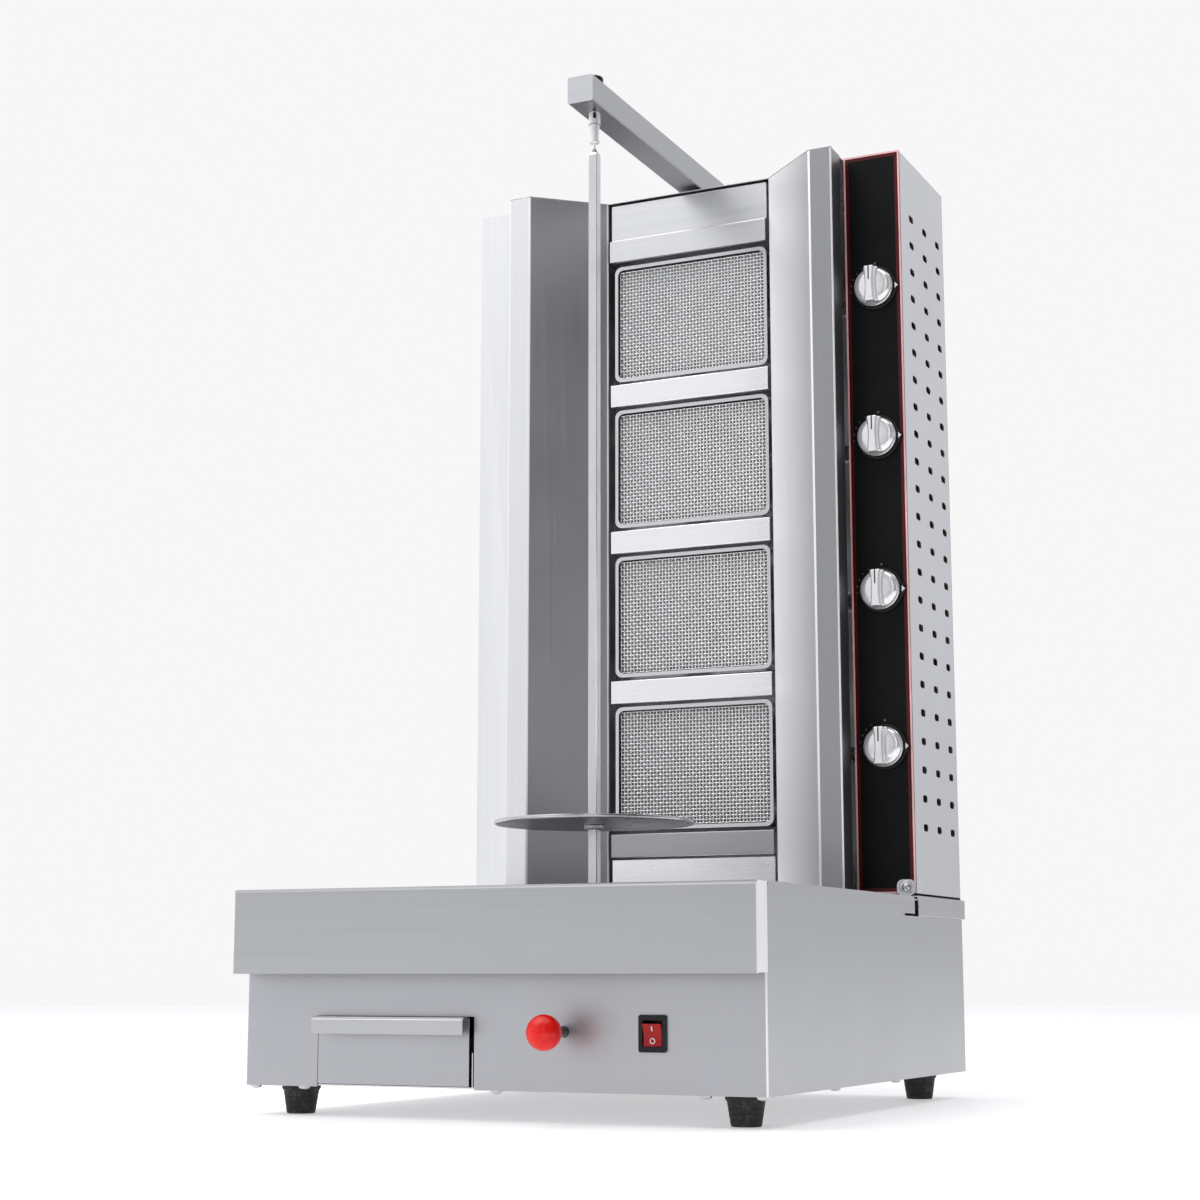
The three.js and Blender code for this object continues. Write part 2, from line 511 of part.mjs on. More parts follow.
function rockerSwitch() {
  const { x0, x1, z0, z1 } = SWITCH
  const y = CAB.front
  const cx = (x0 + x1) / 2
  const cz = (z0 + z1) / 2
  const flange = prism('y', roundedRect(x0, x1, z0, z1, 2), y - 2.2, y - GAP, 4)
  const housing = box(x0 + 2, x1 - 2, y - 1, y + 20, z0 + 2, z1 - 2)
  const well = box(cx - 9.6, cx + 9.6, y - 4, y + 14, cz - 11.6, cz + 11.6)
  addPart('switch_bezel', carve(fuse(flange, housing), well), 'black')

  const pivot = y + 6
  const profile = [[y - 3.4, 10.4], [y - 1.6, 0], [y - 3.4, -10.4], [y + 5, -8.5], [y + 9, 0], [y + 5, 8.5]]
  const rocker = prism('x', profile.map(([a, b]) => [a, cz + b]).reverse(), cx - 9.2, cx + 9.2)
  addPart('switch_rocker', rocker.translate([0, -pivot, -cz]).rotate([SWITCH.tilt, 0, 0])
    .translate([0, pivot, cz]), 'rocker')

  addPart('cable_gland', carve(fuse(
    rod('y', 8, CAB.back - 8, CAB.back + 6, -150, 80, 16),
    rod('y', 12, CAB.back + GAP, CAB.back + 7, -150, 80, 6),
    rod('y', 9, CAB.back + 6, CAB.back + 18, -150, 80, 16)),
  rod('y', 4.5, CAB.back - 10, CAB.back + 20, -150, 80, 16)), 'black')
}

cabinetShell()
basePlate()
feet()
deck()
dripPan()
frontApron()
dripDrawer()
carriageTrack()
carriage()
spit()
topArm()
wings()
sideBoxes()
controlPanel()
towerBack()
burnerBank()
gasControls()
rockerSwitch()

export default group
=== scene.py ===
"""Looks of a free-standing gas rotisserie oven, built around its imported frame."""

from __future__ import annotations

import logging
import math
from dataclasses import dataclass, field
from enum import Enum
from typing import Callable, Iterable, Sequence

import bmesh
import bpy
from mathutils import Matrix, Vector


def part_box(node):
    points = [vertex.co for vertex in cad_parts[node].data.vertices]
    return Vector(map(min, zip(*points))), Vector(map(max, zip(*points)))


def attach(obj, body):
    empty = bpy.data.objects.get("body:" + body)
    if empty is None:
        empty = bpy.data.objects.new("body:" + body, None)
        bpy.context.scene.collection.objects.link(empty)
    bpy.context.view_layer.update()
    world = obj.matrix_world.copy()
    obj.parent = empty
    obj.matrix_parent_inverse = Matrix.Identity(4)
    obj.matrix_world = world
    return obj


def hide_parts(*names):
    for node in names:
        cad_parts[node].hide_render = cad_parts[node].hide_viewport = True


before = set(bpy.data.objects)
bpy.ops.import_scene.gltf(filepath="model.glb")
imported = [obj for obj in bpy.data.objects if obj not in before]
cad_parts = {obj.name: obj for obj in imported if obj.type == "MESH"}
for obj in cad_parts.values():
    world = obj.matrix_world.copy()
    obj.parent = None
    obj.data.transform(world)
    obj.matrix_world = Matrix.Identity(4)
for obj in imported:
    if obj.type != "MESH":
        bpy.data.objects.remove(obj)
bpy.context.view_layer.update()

LOG = logging.getLogger("rotisserie")
MM = 0.001
Point2 = tuple[float, float]
Point3 = tuple[float, float, float]
Socket = bpy.types.NodeSocket
Material = bpy.types.Material


class Grain(Enum):
    """The direction in which a sheet was brushed."""

    ACROSS = (1.0, 0.0, 0.0)
    DEEP = (0.0, 1.0, 0.0)
    UP = (0.0, 0.0, 1.0)


class Axis(Enum):
    """The axis along which an outline is drawn out or turned."""

    X = "x"
    Y = "y"
    Z = "z"


def placed(axis: Axis, u: float, v: float, a: float) -> Vector:
    """Maps outline coordinates and a station along an axis to a point.

    Args:
        axis: The axis the station runs along.
        u: First outline coordinate (y, x or x for the axes x, y and z).
        v: Second outline coordinate (z, z or y).
        a: Station along the axis.

    Returns:
        The point in metres.
    """
    if axis is Axis.X:
        return Vector((a, u, v)) * MM
    if axis is Axis.Y:
        return Vector((u, a, v)) * MM
    return Vector((u, v, a)) * MM


def linked(name: str, data: bpy.types.ID) -> bpy.types.Object:
    """Makes an object from its data and links it to the scene.

    Args:
        name: Name of the object.
        data: Mesh, light or camera it holds.

    Returns:
        The object.
    """
    thing = bpy.data.objects.new(name, data)
    bpy.context.scene.collection.objects.link(thing)
    return thing


def polygon(centre: Point2, radius: float, sides: int, start: float = 0.0) -> list[Point2]:
    """A regular outline whose first corner stands at an angle in degrees."""
    turns = [math.radians(360 / sides * k + start) for k in range(sides)]
    return [(centre[0] + radius * math.cos(a), centre[1] + radius * math.sin(a)) for a in turns]


def add_node(tree: bpy.types.NodeTree, kind: str, out: str, inputs: dict[str | int, object],
             **settings: object) -> Socket:
    """Adds a shader node.

    Args:
        tree: Node tree it goes in.
        kind: Node type, without its prefix.
        out: Name of the output wanted.
        inputs: A value or a socket for each input.
        settings: Attributes of the node.

    Returns:
        The output.
    """
    node = tree.nodes.new(f"ShaderNode{kind}")
    for key, value in settings.items():
        setattr(node, key, value)
    for key, value in inputs.items():
        if isinstance(value, Socket):
            tree.links.new(value, node.inputs[key])
        else:
            node.inputs[key].default_value = value
    return node.outputs[out]


# ---------------------------------------------------------------- finishes


class Recipe:
    """A material under construction, with short calls to add and join its nodes."""

    def __init__(self, name: str) -> None:
        """Starts a material with an empty Principled shader."""
        self.material = bpy.data.materials.new(name)
        self.material.use_nodes = True
        self.tree = self.material.node_tree
        self.shader = self.tree.nodes["Principled BSDF"]
        self.coords = self.tree.nodes.new("ShaderNodeTexCoord")
        self.bumps: list[bpy.types.Node] = []

    def set(self, **values: object) -> None:
        """Sets shader sockets by name, with underscores for spaces."""
        for key, value in values.items():
            self.shader.inputs[key.replace("_", " ")].default_value = value

    def node(self, kind: str, out: str, inputs: dict[str | int, object], **settings: object) -> Socket:
        """Adds a node to this material and gives one of its outputs."""
        return add_node(self.tree, kind, out, inputs, **settings)

    def noise(self, scale: Point3 | float, detail: float = 3.0, rough: float = 0.6) -> Socket:
        """A noise factor whose cell size is one over the scale, in metres.

        Args:
            scale: Cells per metre, one number or one for each axis.
            detail: Layers of finer noise.
            rough: Strength of the finer layers.

        Returns:
            The factor.
        """
        triple = scale if isinstance(scale, tuple) else (scale, scale, scale)
        place = self.node("Mapping", "Vector", {"Scale": triple, "Vector": self.coords.outputs["Object"]})
        return self.node("TexNoise", "Fac", {"Scale": 1.0, "Detail": detail, "Roughness": rough, "Vector": place})

    def remap(self, source: Socket, low: float, high: float, start: float = 0.3, end: float = 0.7) -> Socket:
        """Maps a factor between start and end to low and high."""
        return self.node("MapRange", "Result", {"From Min": start, "From Max": end, "To Min": low, "To Max": high,
                                                "Value": source})

    def math(self, kind: str, a: Socket | float, b: Socket | float) -> Socket:
        """One arithmetic node on two sockets or numbers."""
        return self.node("Math", "Value", {0: a, 1: b}, operation=kind)

    def blend(self, factor: Socket, dark: Sequence[float], light: Sequence[float]) -> Socket:
        """A colour between two, by a factor."""
        return self.node("Mix", "Result", {"A": (*dark[:3], 1.0), "B": (*light[:3], 1.0), "Factor": factor},
                         data_type="RGBA")

    def layer(self, factor: Socket, under: Socket, over: Sequence[float]) -> Socket:
        """Lays a plain colour over another colour socket, by a factor."""
        return self.node("Mix", "Result", {"A": under, "B": (*over[:3], 1.0), "Factor": factor}, data_type="RGBA")

    def drive(self, socket: str, source: Socket) -> None:
        """Feeds a shader socket."""
        self.tree.links.new(source, self.shader.inputs[socket])

    def bump(self, height: Socket, depth: float, strength: float = 1.0) -> None:
        """Adds a bump layer of the given depth in metres.

        Args:
            height: Height factor.
            depth: Depth in metres.
            strength: Share of the depth that shows.
        """
        node = self.tree.nodes.new("ShaderNodeBump")
        node.inputs["Strength"].default_value = strength
        node.inputs["Distance"].default_value = depth
        self.tree.links.new(height, node.inputs["Height"])
        if self.bumps:
            self.tree.links.new(self.bumps[-1].outputs["Normal"], node.inputs["Normal"])
        self.bumps.append(node)
        self.tree.links.new(node.outputs["Normal"], self.shader.inputs["Normal"])


@dataclass(frozen=True)
class BrushedSteel:
    """Stainless sheet with a directional grain and faint smears."""

    name: str
    grain: Grain = Grain.ACROSS
    tint: Point3 = (0.60, 0.605, 0.625)
    rough: float = 0.27
    depth: float = 1.2e-5
    ripple: float = 0.0
    metal: float = 1.0
    # Painted shade: start and end in mm along x, and the share of the tint left at the end.
    fade: Point3 = (0.0, 1.0, 1.0)

    def material(self) -> Material:
        """Builds the material; the painted shade sweep runs between two stations along x to a darker share: painted
        shade standing in for light falling off across a panel.

        Returns:
            The material.
        """
        r = Recipe(self.name)
        along = self.grain.value
        fine = tuple(7.0 if a else 1100.0 for a in along)
        long = tuple(2.0 if a else 300.0 for a in along)
        hair = r.noise(fine, 2.0, 0.7)
        streak = r.noise(long, 3.0, 0.6)
        smear = r.noise(7.0, 3.0, 0.55)
        tint = self.tint
        dark = tuple(c * 0.95 for c in tint)
        light = tuple(min(1.0, c * 1.03) for c in tint)
        grain = r.math("ADD", r.math("MULTIPLY", hair, 0.45), r.math("MULTIPLY", streak, 0.55))
        colour = r.blend(r.remap(grain, 0.0, 1.0), dark, light)
        colour = r.layer(r.remap(smear, 0.0, 0.06, 0.45, 0.75), colour, tuple(c * 0.8 for c in tint))
        # Painted shade: darkens the colour along x between two stations.
        if self.fade[2] < 1.0:
            split = r.tree.nodes.new("ShaderNodeSeparateXYZ")
            r.tree.links.new(r.coords.outputs["Object"], split.inputs["Vector"])
            painted_shade_ramp = r.remap(split.outputs["X"], 0.0, 1.0, self.fade[0] * MM, self.fade[1] * MM)
            colour = r.layer(painted_shade_ramp, colour, tuple(c * self.fade[2] for c in tint))
        r.drive("Base Color", colour)
        rough = r.math("ADD", r.remap(grain, self.rough - 0.03, self.rough + 0.04),
                       r.remap(smear, -0.02, 0.03, 0.3, 0.75))
        r.drive("Roughness", rough)
        r.set(Metallic=self.metal)
        r.bump(grain, self.depth, 0.35)
        if self.ripple:
            r.bump(r.noise(9.0, 1.0, 0.4), self.ripple, 0.5)
        return r.material


@dataclass(frozen=True)
class PolishedSteel:
    """Bright steel with turned or drawn marks, pits and a thin film."""

    name: str
    tint: Point3 = (0.72, 0.725, 0.735)
    rough: float = 0.16
    scale: Point3 = (500.0, 500.0, 40.0)
    metal: float = 1.0

    def material(self) -> Material:
        """Builds the material.

        Returns:
            The material.
        """
        r = Recipe(self.name)
        marks = r.noise(self.scale, 3.0, 0.65)
        film = r.noise(22.0, 4.0, 0.6)
        colour = r.blend(r.remap(marks, 0.0, 1.0), tuple(c * 0.9 for c in self.tint), self.tint)
        colour = r.layer(r.remap(film, 0.0, 0.18, 0.5, 0.8), colour, (0.42, 0.40, 0.39))
        r.drive("Base Color", colour)
        r.drive("Roughness", r.math("ADD", r.remap(marks, self.rough - 0.04, self.rough + 0.05),
                                    r.remap(film, 0.0, 0.08, 0.45, 0.8)))
        r.set(Metallic=self.metal)
        r.bump(marks, 8e-6, 0.5)
        return r.material


@dataclass(frozen=True)
class Moulded:
    """Moulded plastic, rubber or thermoset, with its skin texture and dust."""

    name: str
    colour: Point3
    rough: float = 0.45
    skin: float = 900.0
    depth: float = 2.5e-5
    coat: float = 0.0
    dust: float = 0.12
    specular: float = 0.4
    dust_colour: Point3 = (0.30, 0.30, 0.30)

    def material(self) -> Material:
        """Builds the material.

        Returns:
            The material.
        """
        r = Recipe(self.name)
        skin = r.noise(self.skin, 2.0, 0.5)
        wide = r.noise(35.0, 4.0, 0.6)
        bright = tuple(min(1.0, c * 1.25 + 0.004) for c in self.colour)
        colour = r.blend(r.remap(wide, 0.0, 1.0), tuple(c * 0.85 for c in self.colour), bright)
        colour = r.layer(r.math("MULTIPLY", r.remap(r.noise(140.0, 4.0, 0.7), 0.0, 1.0, 0.55, 0.8), self.dust),
                         colour, self.dust_colour)
        r.drive("Base Color", colour)
        r.drive("Roughness", r.remap(wide, self.rough - 0.05, self.rough + 0.07))
        r.set(Coat_Weight=self.coat, Coat_Roughness=0.06, Specular_IOR_Level=self.specular)
        r.bump(skin, self.depth, 0.5)
        return r.material


@dataclass(frozen=True)
class Lacquer:
    """Gloss lacquer or enamel on metal, with a slight orange peel and fine hairlines."""

    name: str
    colour: Point3
    rough: float = 0.12
    peel: float = 160.0
    specular: float = 0.5

    def material(self) -> Material:
        """Builds the material.

        Returns:
            The material.
        """
        r = Recipe(self.name)
        wide = r.noise(12.0, 3.0, 0.6)
        hair = r.noise((400.0, 400.0, 14.0), 3.0, 0.7)
        colour = r.blend(r.remap(wide, 0.0, 1.0), tuple(c * 0.8 for c in self.colour),
                         tuple(c * 1.2 + 0.002 for c in self.colour))
        r.drive("Base Color", colour)
        r.drive("Roughness", r.math("ADD", r.remap(hair, self.rough - 0.02, self.rough + 0.05),
                                    r.remap(wide, 0.0, 0.05)))
        r.set(Specular_IOR_Level=self.specular)
        r.bump(r.noise(self.peel, 2.0, 0.5), 1.2e-5, 0.4)
        return r.material


@dataclass(frozen=True)
class Machined:
    """Turned or cast metal such as brass, zinc plate or die-cast chrome."""

    name: str
    tint: Point3
    rough: float
    stain: Point3 = (0.25, 0.2, 0.12)
    stain_amount: float = 0.2
    pattern: float = 260.0

    def material(self) -> Material:
        """Builds the material.

        Returns:
            The material.
        """
        r = Recipe(self.name)
        marks = r.noise(self.pattern, 4.0, 0.65)
        stain = r.noise(60.0, 4.0, 0.65)
        colour = r.blend(r.remap(marks, 0.0, 1.0), tuple(c * 0.86 for c in self.tint), self.tint)
        colour = r.layer(r.remap(stain, 0.0, self.stain_amount, 0.5, 0.8), colour, self.stain)
        r.drive("Base Color", colour)
        r.drive("Roughness", r.math("ADD", r.remap(marks, self.rough * 0.8, self.rough * 1.25),
                                    r.remap(stain, 0.0, 0.06, 0.5, 0.8)))
        r.set(Metallic=1.0)
        r.bump(marks, 1.2e-5, 0.35)
        return r.material


@dataclass(frozen=True)
class BurnerTile:
    """A pale ceramic plate pierced by a close grid of flame ports."""

    name: str = "burner_tile"
    pitch: float = 2.2

    def material(self) -> Material:
        """Builds the material.

        Returns:
            The material.
        """
        r = Recipe(self.name)
        node = r.tree.nodes.new("ShaderNodeSeparateXYZ")
        r.tree.links.new(r.coords.outputs["Object"], node.inputs["Vector"])
        rate = 2.0 * math.pi / (self.pitch * MM)
        waves = [r.math("SINE", r.math("MULTIPLY", node.outputs[k], rate), 0.0) for k in ("X", "Z")]
        ports = r.math("MULTIPLY", waves[0], waves[1])
        clay = r.noise(90.0, 4.0, 0.6)
        colour = r.blend(r.remap(clay, 0.0, 1.0), (0.48, 0.47, 0.46), (0.62, 0.61, 0.60))
        # Painted shade: the flame port holes are painted near black.
        colour = r.layer(r.remap(ports, 0.0, 0.9, 0.1, 0.45), colour, (0.03, 0.03, 0.03))
        r.drive("Base Color", colour)
        r.drive("Roughness", r.remap(clay, 0.75, 0.95))
        r.bump(ports, 3e-4, -0.6)
        return r.material


@dataclass(frozen=True)
class StudioFloor:
    """A seamless pale light table, faintly lit from below."""

    name: str = "studio_floor"
    glow: float = 0.3

    def material(self) -> Material:
        """Builds the material.

        Returns:
            The material.
        """
        r = Recipe(self.name)
        cloud = r.noise(1.5, 3.0, 0.5)
        r.drive("Base Color", r.blend(r.remap(cloud, 0.0, 1.0), (0.86, 0.86, 0.865), (0.885, 0.885, 0.89)))
        r.drive("Roughness", r.remap(cloud, 0.55, 0.7))
        r.set(Emission_Color=(1.0, 1.0, 1.0, 1.0), Emission_Strength=self.glow)
        return r.material


class Finishes:
    """The oven's finishes, each made once and shared by its pieces."""

    def __init__(self) -> None:
        """Builds every finish."""
        steel = BrushedSteel
        self.base_front = steel("base_front", Grain.ACROSS, (0.47, 0.475, 0.495), 0.42, ripple=6e-5).material()
        self.apron = steel("apron_front", Grain.ACROSS, (0.47, 0.475, 0.49), 0.33, ripple=6e-5).material()
        self.pull = steel("drawer_pull", Grain.ACROSS, (0.52, 0.525, 0.54), 0.36, ripple=3e-5).material()
        self.base_side = steel("base_side", Grain.DEEP, (0.50, 0.505, 0.525), 0.34, ripple=6e-5).material()
        self.sheet_across = steel("sheet_across", Grain.ACROSS, (0.70, 0.705, 0.72), ripple=6e-5).material()
        self.sheet_up = steel("sheet_up", Grain.UP, rough=0.30, ripple=6e-5).material()
        # The wings' panels and strips are one steel in lit and shaded copies: painted light and painted shade by how
        # light falls on each.
        self.wing_painted_light = steel("wing_painted_light", Grain.UP, (0.98, 0.98, 0.99), 0.42, ripple=5e-5, metal=0.25,
                                fade=(106.0, 172.0, 0.5)).material()
        self.wing_painted_shade = steel("wing_painted_shade", Grain.UP, (0.56, 0.565, 0.58), 0.38, ripple=5e-5).material()
        self.wing_shade = steel("wing_shade", Grain.UP, (0.36, 0.363, 0.375), 0.38, ripple=5e-5).material()
        self.header = steel("header_sheet", Grain.ACROSS, (0.78, 0.785, 0.80), 0.32, ripple=5e-5).material()
        self.shade = steel("shaded_sheet", Grain.ACROSS, (0.43, 0.433, 0.445), 0.36, ripple=5e-5).material()
        # Painted highlight: a pale, mostly non-metal finish laid on rounded folds so they show a white line.
        self.edge = steel("painted_highlight_edge", Grain.UP, (0.97, 0.97, 0.98), 0.32, 8e-7, metal=0.35).material()
        self.perforated = steel("perforated_sheet", Grain.UP, (0.66, 0.665, 0.685), 0.33).material()
        self.bar = steel("bright_bar", Grain.ACROSS, (0.985, 0.985, 0.995), 0.26, 4e-6).material()
        self.frame = steel("burner_frame", Grain.ACROSS, (0.72, 0.72, 0.73), 0.28, 6e-6, 1e-4).material()
        # Painted shade: near-black inner walls of each burner window, a shadow line inside the rim.
        self.reveal = steel("burner_recess_painted_shade", Grain.ACROSS, (0.10, 0.10, 0.105), 0.45, 6e-6).material()
        self.arm = steel("arm_side", Grain.DEEP, (0.46, 0.465, 0.48), 0.32, 6e-6).material()
        self.arm_end = steel("arm_end", Grain.ACROSS, (0.60, 0.605, 0.62), 0.3, 6e-6).material()
        # Painted shade: a darker copy of the arm steel for the tube's underside.
        self.arm_painted_shade = steel("arm_bottom_painted_shade", Grain.DEEP, (0.26, 0.26, 0.27), 0.36, 6e-6).material()
        self.spit = PolishedSteel("spit_steel").material()
        self.sleeve = PolishedSteel("sleeve_steel", (0.92, 0.92, 0.93), 0.3, metal=0.45).material()
        self.box_front = steel("box_front", Grain.UP, (0.90, 0.905, 0.92), 0.3, ripple=5e-5).material()
        # Lit copy of the wing steel for the left wing's front strip: painted light.
        self.strip = steel("strip_front_painted_light", Grain.UP, (0.84, 0.845, 0.86), 0.3, ripple=5e-5).material()
        self.plate = PolishedSteel("plate_steel", (0.62, 0.625, 0.64), 0.24, (120.0, 120.0, 120.0)).material()
        # Painted shade: a darker copy of the plate steel for the disc's underside and the spit's drawn-in tip.
        self.plate_painted_shade = PolishedSteel("disc_underside_painted_shade", (0.20, 0.20, 0.21), 0.34,
                                         (120.0, 120.0, 120.0)).material()
        self.wire = Machined("mesh_wire", (0.98, 0.98, 0.985), 0.3, (0.45, 0.43, 0.42), 0.25).material()
        self.tile = BurnerTile().material()
        self.chrome = PolishedSteel("knob_chrome", (0.96, 0.965, 0.97), 0.13, (300.0, 300.0, 300.0), 0.6).material()
        self.dark_rod = Machined("blackened_rod", (0.10, 0.10, 0.105), 0.28, (0.3, 0.28, 0.26), 0.2).material()
        self.zinc = Machined("zinc_plate", (0.62, 0.64, 0.66), 0.32, (0.45, 0.42, 0.34), 0.35, 120.0).material()
        self.screw = Machined("screw_steel", (0.66, 0.66, 0.67), 0.22, (0.3, 0.3, 0.3), 0.25).material()
        self.brass = Machined("valve_brass", (0.73, 0.55, 0.27), 0.24, (0.28, 0.19, 0.08), 0.4).material()
        self.motor = Lacquer("motor_enamel", (0.045, 0.05, 0.055), 0.35).material()
        self.panel = Lacquer("panel_black", (0.0045, 0.0052, 0.0056), 0.36, 60.0, 0.11).material()
        self.band = Lacquer("panel_red_band", (0.075, 0.004, 0.006), 0.3, 60.0, 0.25).material()
        # Painted highlight: the pale pink outer line stands for light on the panel's rounded edge.
        self.edge_painted_highlight = Lacquer("panel_edge_painted_highlight", (0.92, 0.52, 0.52), 0.25).material()
        # Painted highlight: the pale triangle on each bezel's pointer tip stands for a glint.
        self.tip_painted_glint = Moulded("bezel_tip_painted_glint", (0.80, 0.80, 0.80), 0.3, dust=0.05).material()
        self.mark = Moulded("panel_marks", (0.12, 0.12, 0.12), 0.4, dust=0.05).material()
        self.black = Moulded("black_moulding", (0.007, 0.007, 0.0075), 0.32, 700.0, dust=0.04,
                             specular=0.25).material()
        self.rubber = Moulded("foot_rubber", (0.013, 0.013, 0.013), 0.62, 500.0, 6e-5, dust=0.3).material()
        self.ball = Moulded("ball_red", (0.74, 0.006, 0.004), 0.24, 220.0, 8e-6, 0.1, 0.0, 0.3).material()
        self.rocker = Moulded("rocker_red", (0.36, 0.004, 0.005), 0.25, 500.0, 8e-6, 0.05, 0.0, 0.25).material()
        self.ink = Moulded("rocker_marks", (0.72, 0.68, 0.66), 0.45, dust=0.05).material()


# ---------------------------------------------------------------- pieces


@dataclass
class Piece:
    """A mesh on its way to becoming a finished object of the oven."""

    name: str
    mesh: bmesh.types.BMesh = field(default_factory=bmesh.new)

    def prism(self, axis: Axis, outline: Sequence[Point2], a0: float, a1: float, paint: int = 0) -> Piece:
        """Adds an outline drawn out between two stations.

        Args:
            axis: The axis of the draw.
            outline: Closed outline in millimetres.
            a0: First station in millimetres.
            a1: Last station in millimetres.
            paint: Material slot of the new faces.

        Returns:
            The piece itself.
        """
        low = [self.mesh.verts.new(placed(axis, u, v, a0)) for u, v in outline]
        high = [self.mesh.verts.new(placed(axis, u, v, a1)) for u, v in outline]
        count = len(outline)
        faces = [self.mesh.faces.new(low), self.mesh.faces.new(high[::-1])]
        for i in range(count):
            j = (i + 1) % count
            faces.append(self.mesh.faces.new((low[j], low[i], high[i], high[j])))
        for face in faces:
            face.material_index = paint
        bmesh.ops.recalc_face_normals(self.mesh, faces=faces)
        return self

    def box(self, x: Point2, y: Point2, z: Point2, paint: int = 0) -> Piece:
        """Adds a block between pairs of stations in millimetres."""
        return self.prism(Axis.Z, [(x[0], y[0]), (x[1], y[0]), (x[1], y[1]), (x[0], y[1])], z[0], z[1], paint)

    def turned(self, axis: Axis, profile: Sequence[Point2], centre: Point2,
               segments: int = 64, paint: int = 0) -> Piece:
        """Adds a turned body.

        Args:
            axis: The axis it is turned about.
            profile: Radius and station pairs, from one end to the other.
            centre: The two other coordinates of the axis.
            segments: Number of sides.
            paint: Material slot of the new faces.

        Returns:
            The piece itself.
        """
        rings: list[list[bmesh.types.BMVert]] = []
        for radius, station in profile:
            if radius < 1e-6:
                rings.append([self.mesh.verts.new(placed(axis, centre[0], centre[1], station))])
                continue
            ring = []
            for k in range(segments):
                angle = 2.0 * math.pi * k / segments
                ring.append(self.mesh.verts.new(placed(
                    axis, centre[0] + radius * math.cos(angle), centre[1] + radius * math.sin(angle), station)))
            rings.append(ring)
        faces = []
        for lower, upper in zip(rings, rings[1:]):
            for k in range(segments):
                n = (k + 1) % segments
                unique = list(dict.fromkeys([lower[k % len(lower)], lower[n % len(lower)],
                                             upper[n % len(upper)], upper[k % len(upper)]]))
                if len(unique) > 2:
                    faces.append(self.mesh.faces.new(unique))
        for ring, flip in ((rings[0], True), (rings[-1], False)):
            if len(ring) > 2 and profile[0] != profile[-1]:
                faces.append(self.mesh.faces.new(ring[::-1] if flip else ring))
        for face in faces:
            face.material_index = paint
        bmesh.ops.recalc_face_normals(self.mesh, faces=faces)
        return self

    def skin(self, rings: Sequence[list[bmesh.types.BMVert]]) -> None:
        """Closes a row of equal rings into a body.

        Args:
            rings: The rings, from one end to the other.
        """
        for lower, upper in zip(rings, rings[1:]):
            for k in range(len(lower)):
                n = (k + 1) % len(lower)
                self.mesh.faces.new((lower[k], lower[n], upper[n], upper[k]))
        self.mesh.faces.new(rings[0][::-1])
        self.mesh.faces.new(rings[-1])

    def cut(self, cutter: Piece) -> Piece:
        """Takes another piece's volume away from this one."""
        return self._boolean(cutter, "DIFFERENCE")

    def join(self, other: Piece) -> Piece:
        """Fuses another piece into this one."""
        return self._boolean(other, "UNION")

    def _boolean(self, other: Piece, kind: str) -> Piece:
        """Runs one exact boolean against another piece.

        Args:
            other: The other piece.
            kind: Name of the operation.

        Returns:
            The piece itself.
        """
        mine, theirs = self._loose("boolean_body"), other._loose("boolean_tool")
        step = mine.modifiers.new("step", "BOOLEAN")
        step.operation, step.object, step.solver = kind, theirs, "EXACT"
        result = bpy.data.meshes.new_from_object(mine.evaluated_get(bpy.context.evaluated_depsgraph_get()))
        self.mesh = bmesh.new()
        self.mesh.from_mesh(result)
        for thing in (mine, theirs):
            data = thing.data
            bpy.data.objects.remove(thing)
            bpy.data.meshes.remove(data)
        bpy.data.meshes.remove(result)
        return self

    def _loose(self, name: str) -> bpy.types.Object:
        """A plain object that holds the mesh, linked to the scene.

        Args:
            name: Name of the object.

        Returns:
            The object.
        """
        data = bpy.data.meshes.new(name)
        self.mesh.to_mesh(data)
        return linked(name, data)

    def round_edges(self, radius: float, segments: int = 2, angle: float = 28.0,
                    where: Callable[[bmesh.types.BMEdge], bool] | None = None) -> Piece:
        """Rounds convex edges.

        Args:
            radius: Edge radius in millimetres.
            segments: Faces across each rounding.
            angle: Smallest turn, in degrees, that counts as an edge.
            where: Test that an edge must also pass.

        Returns:
            The piece itself.
        """
        layer = self.round_layer()
        self.mesh.normal_update()
        limit = math.radians(angle)
        chosen = [e for e in self.mesh.edges if len(e.link_faces) == 2
                  and e.calc_face_angle_signed(0.0) > limit and (where is None or where(e))]
        if chosen:
            made = bmesh.ops.bevel(self.mesh, geom=chosen, offset=radius * MM, offset_type="OFFSET",
                                   segments=segments, profile=0.5, affect="EDGES", clamp_overlap=True, material=-1)
            for face in made["faces"]:
                face[layer] = 1
        return self

    def round_layer(self) -> bmesh.types.BMLayerItem:
        """The face layer that marks rounded edges."""
        layers = self.mesh.faces.layers.int
        return layers.get("rounded") or layers.new("rounded")

    def shaded(self, smooth: float) -> list[Vector]:
        """Corner normals: flat faces stay flat, and roundings run into them smoothly.

        Args:
            smooth: Angle in degrees up to which unmarked faces blend.

        Returns:
            One normal for each face corner.
        """
        layer = self.round_layer()
        self.mesh.normal_update()
        near, far = math.cos(math.radians(smooth)), math.cos(math.radians(52.0))
        area = {face: face.calc_area() for face in self.mesh.faces}
        normals: list[Vector] = []
        for face in self.mesh.faces:
            rounded = face[layer] == 1
            for corner in face.loops:
                total = Vector()
                for other in corner.vert.link_faces:
                    marked = other[layer] == 1
                    turn = other.normal.dot(face.normal)
                    if rounded and turn > far:
                        total += other.normal * (1.0 if marked else 500.0)
                    elif not rounded and not marked and turn > near:
                        total += other.normal * area[other]
                normals.append(total.normalized() if total.length > 1e-12 else face.normal.copy())
        return normals

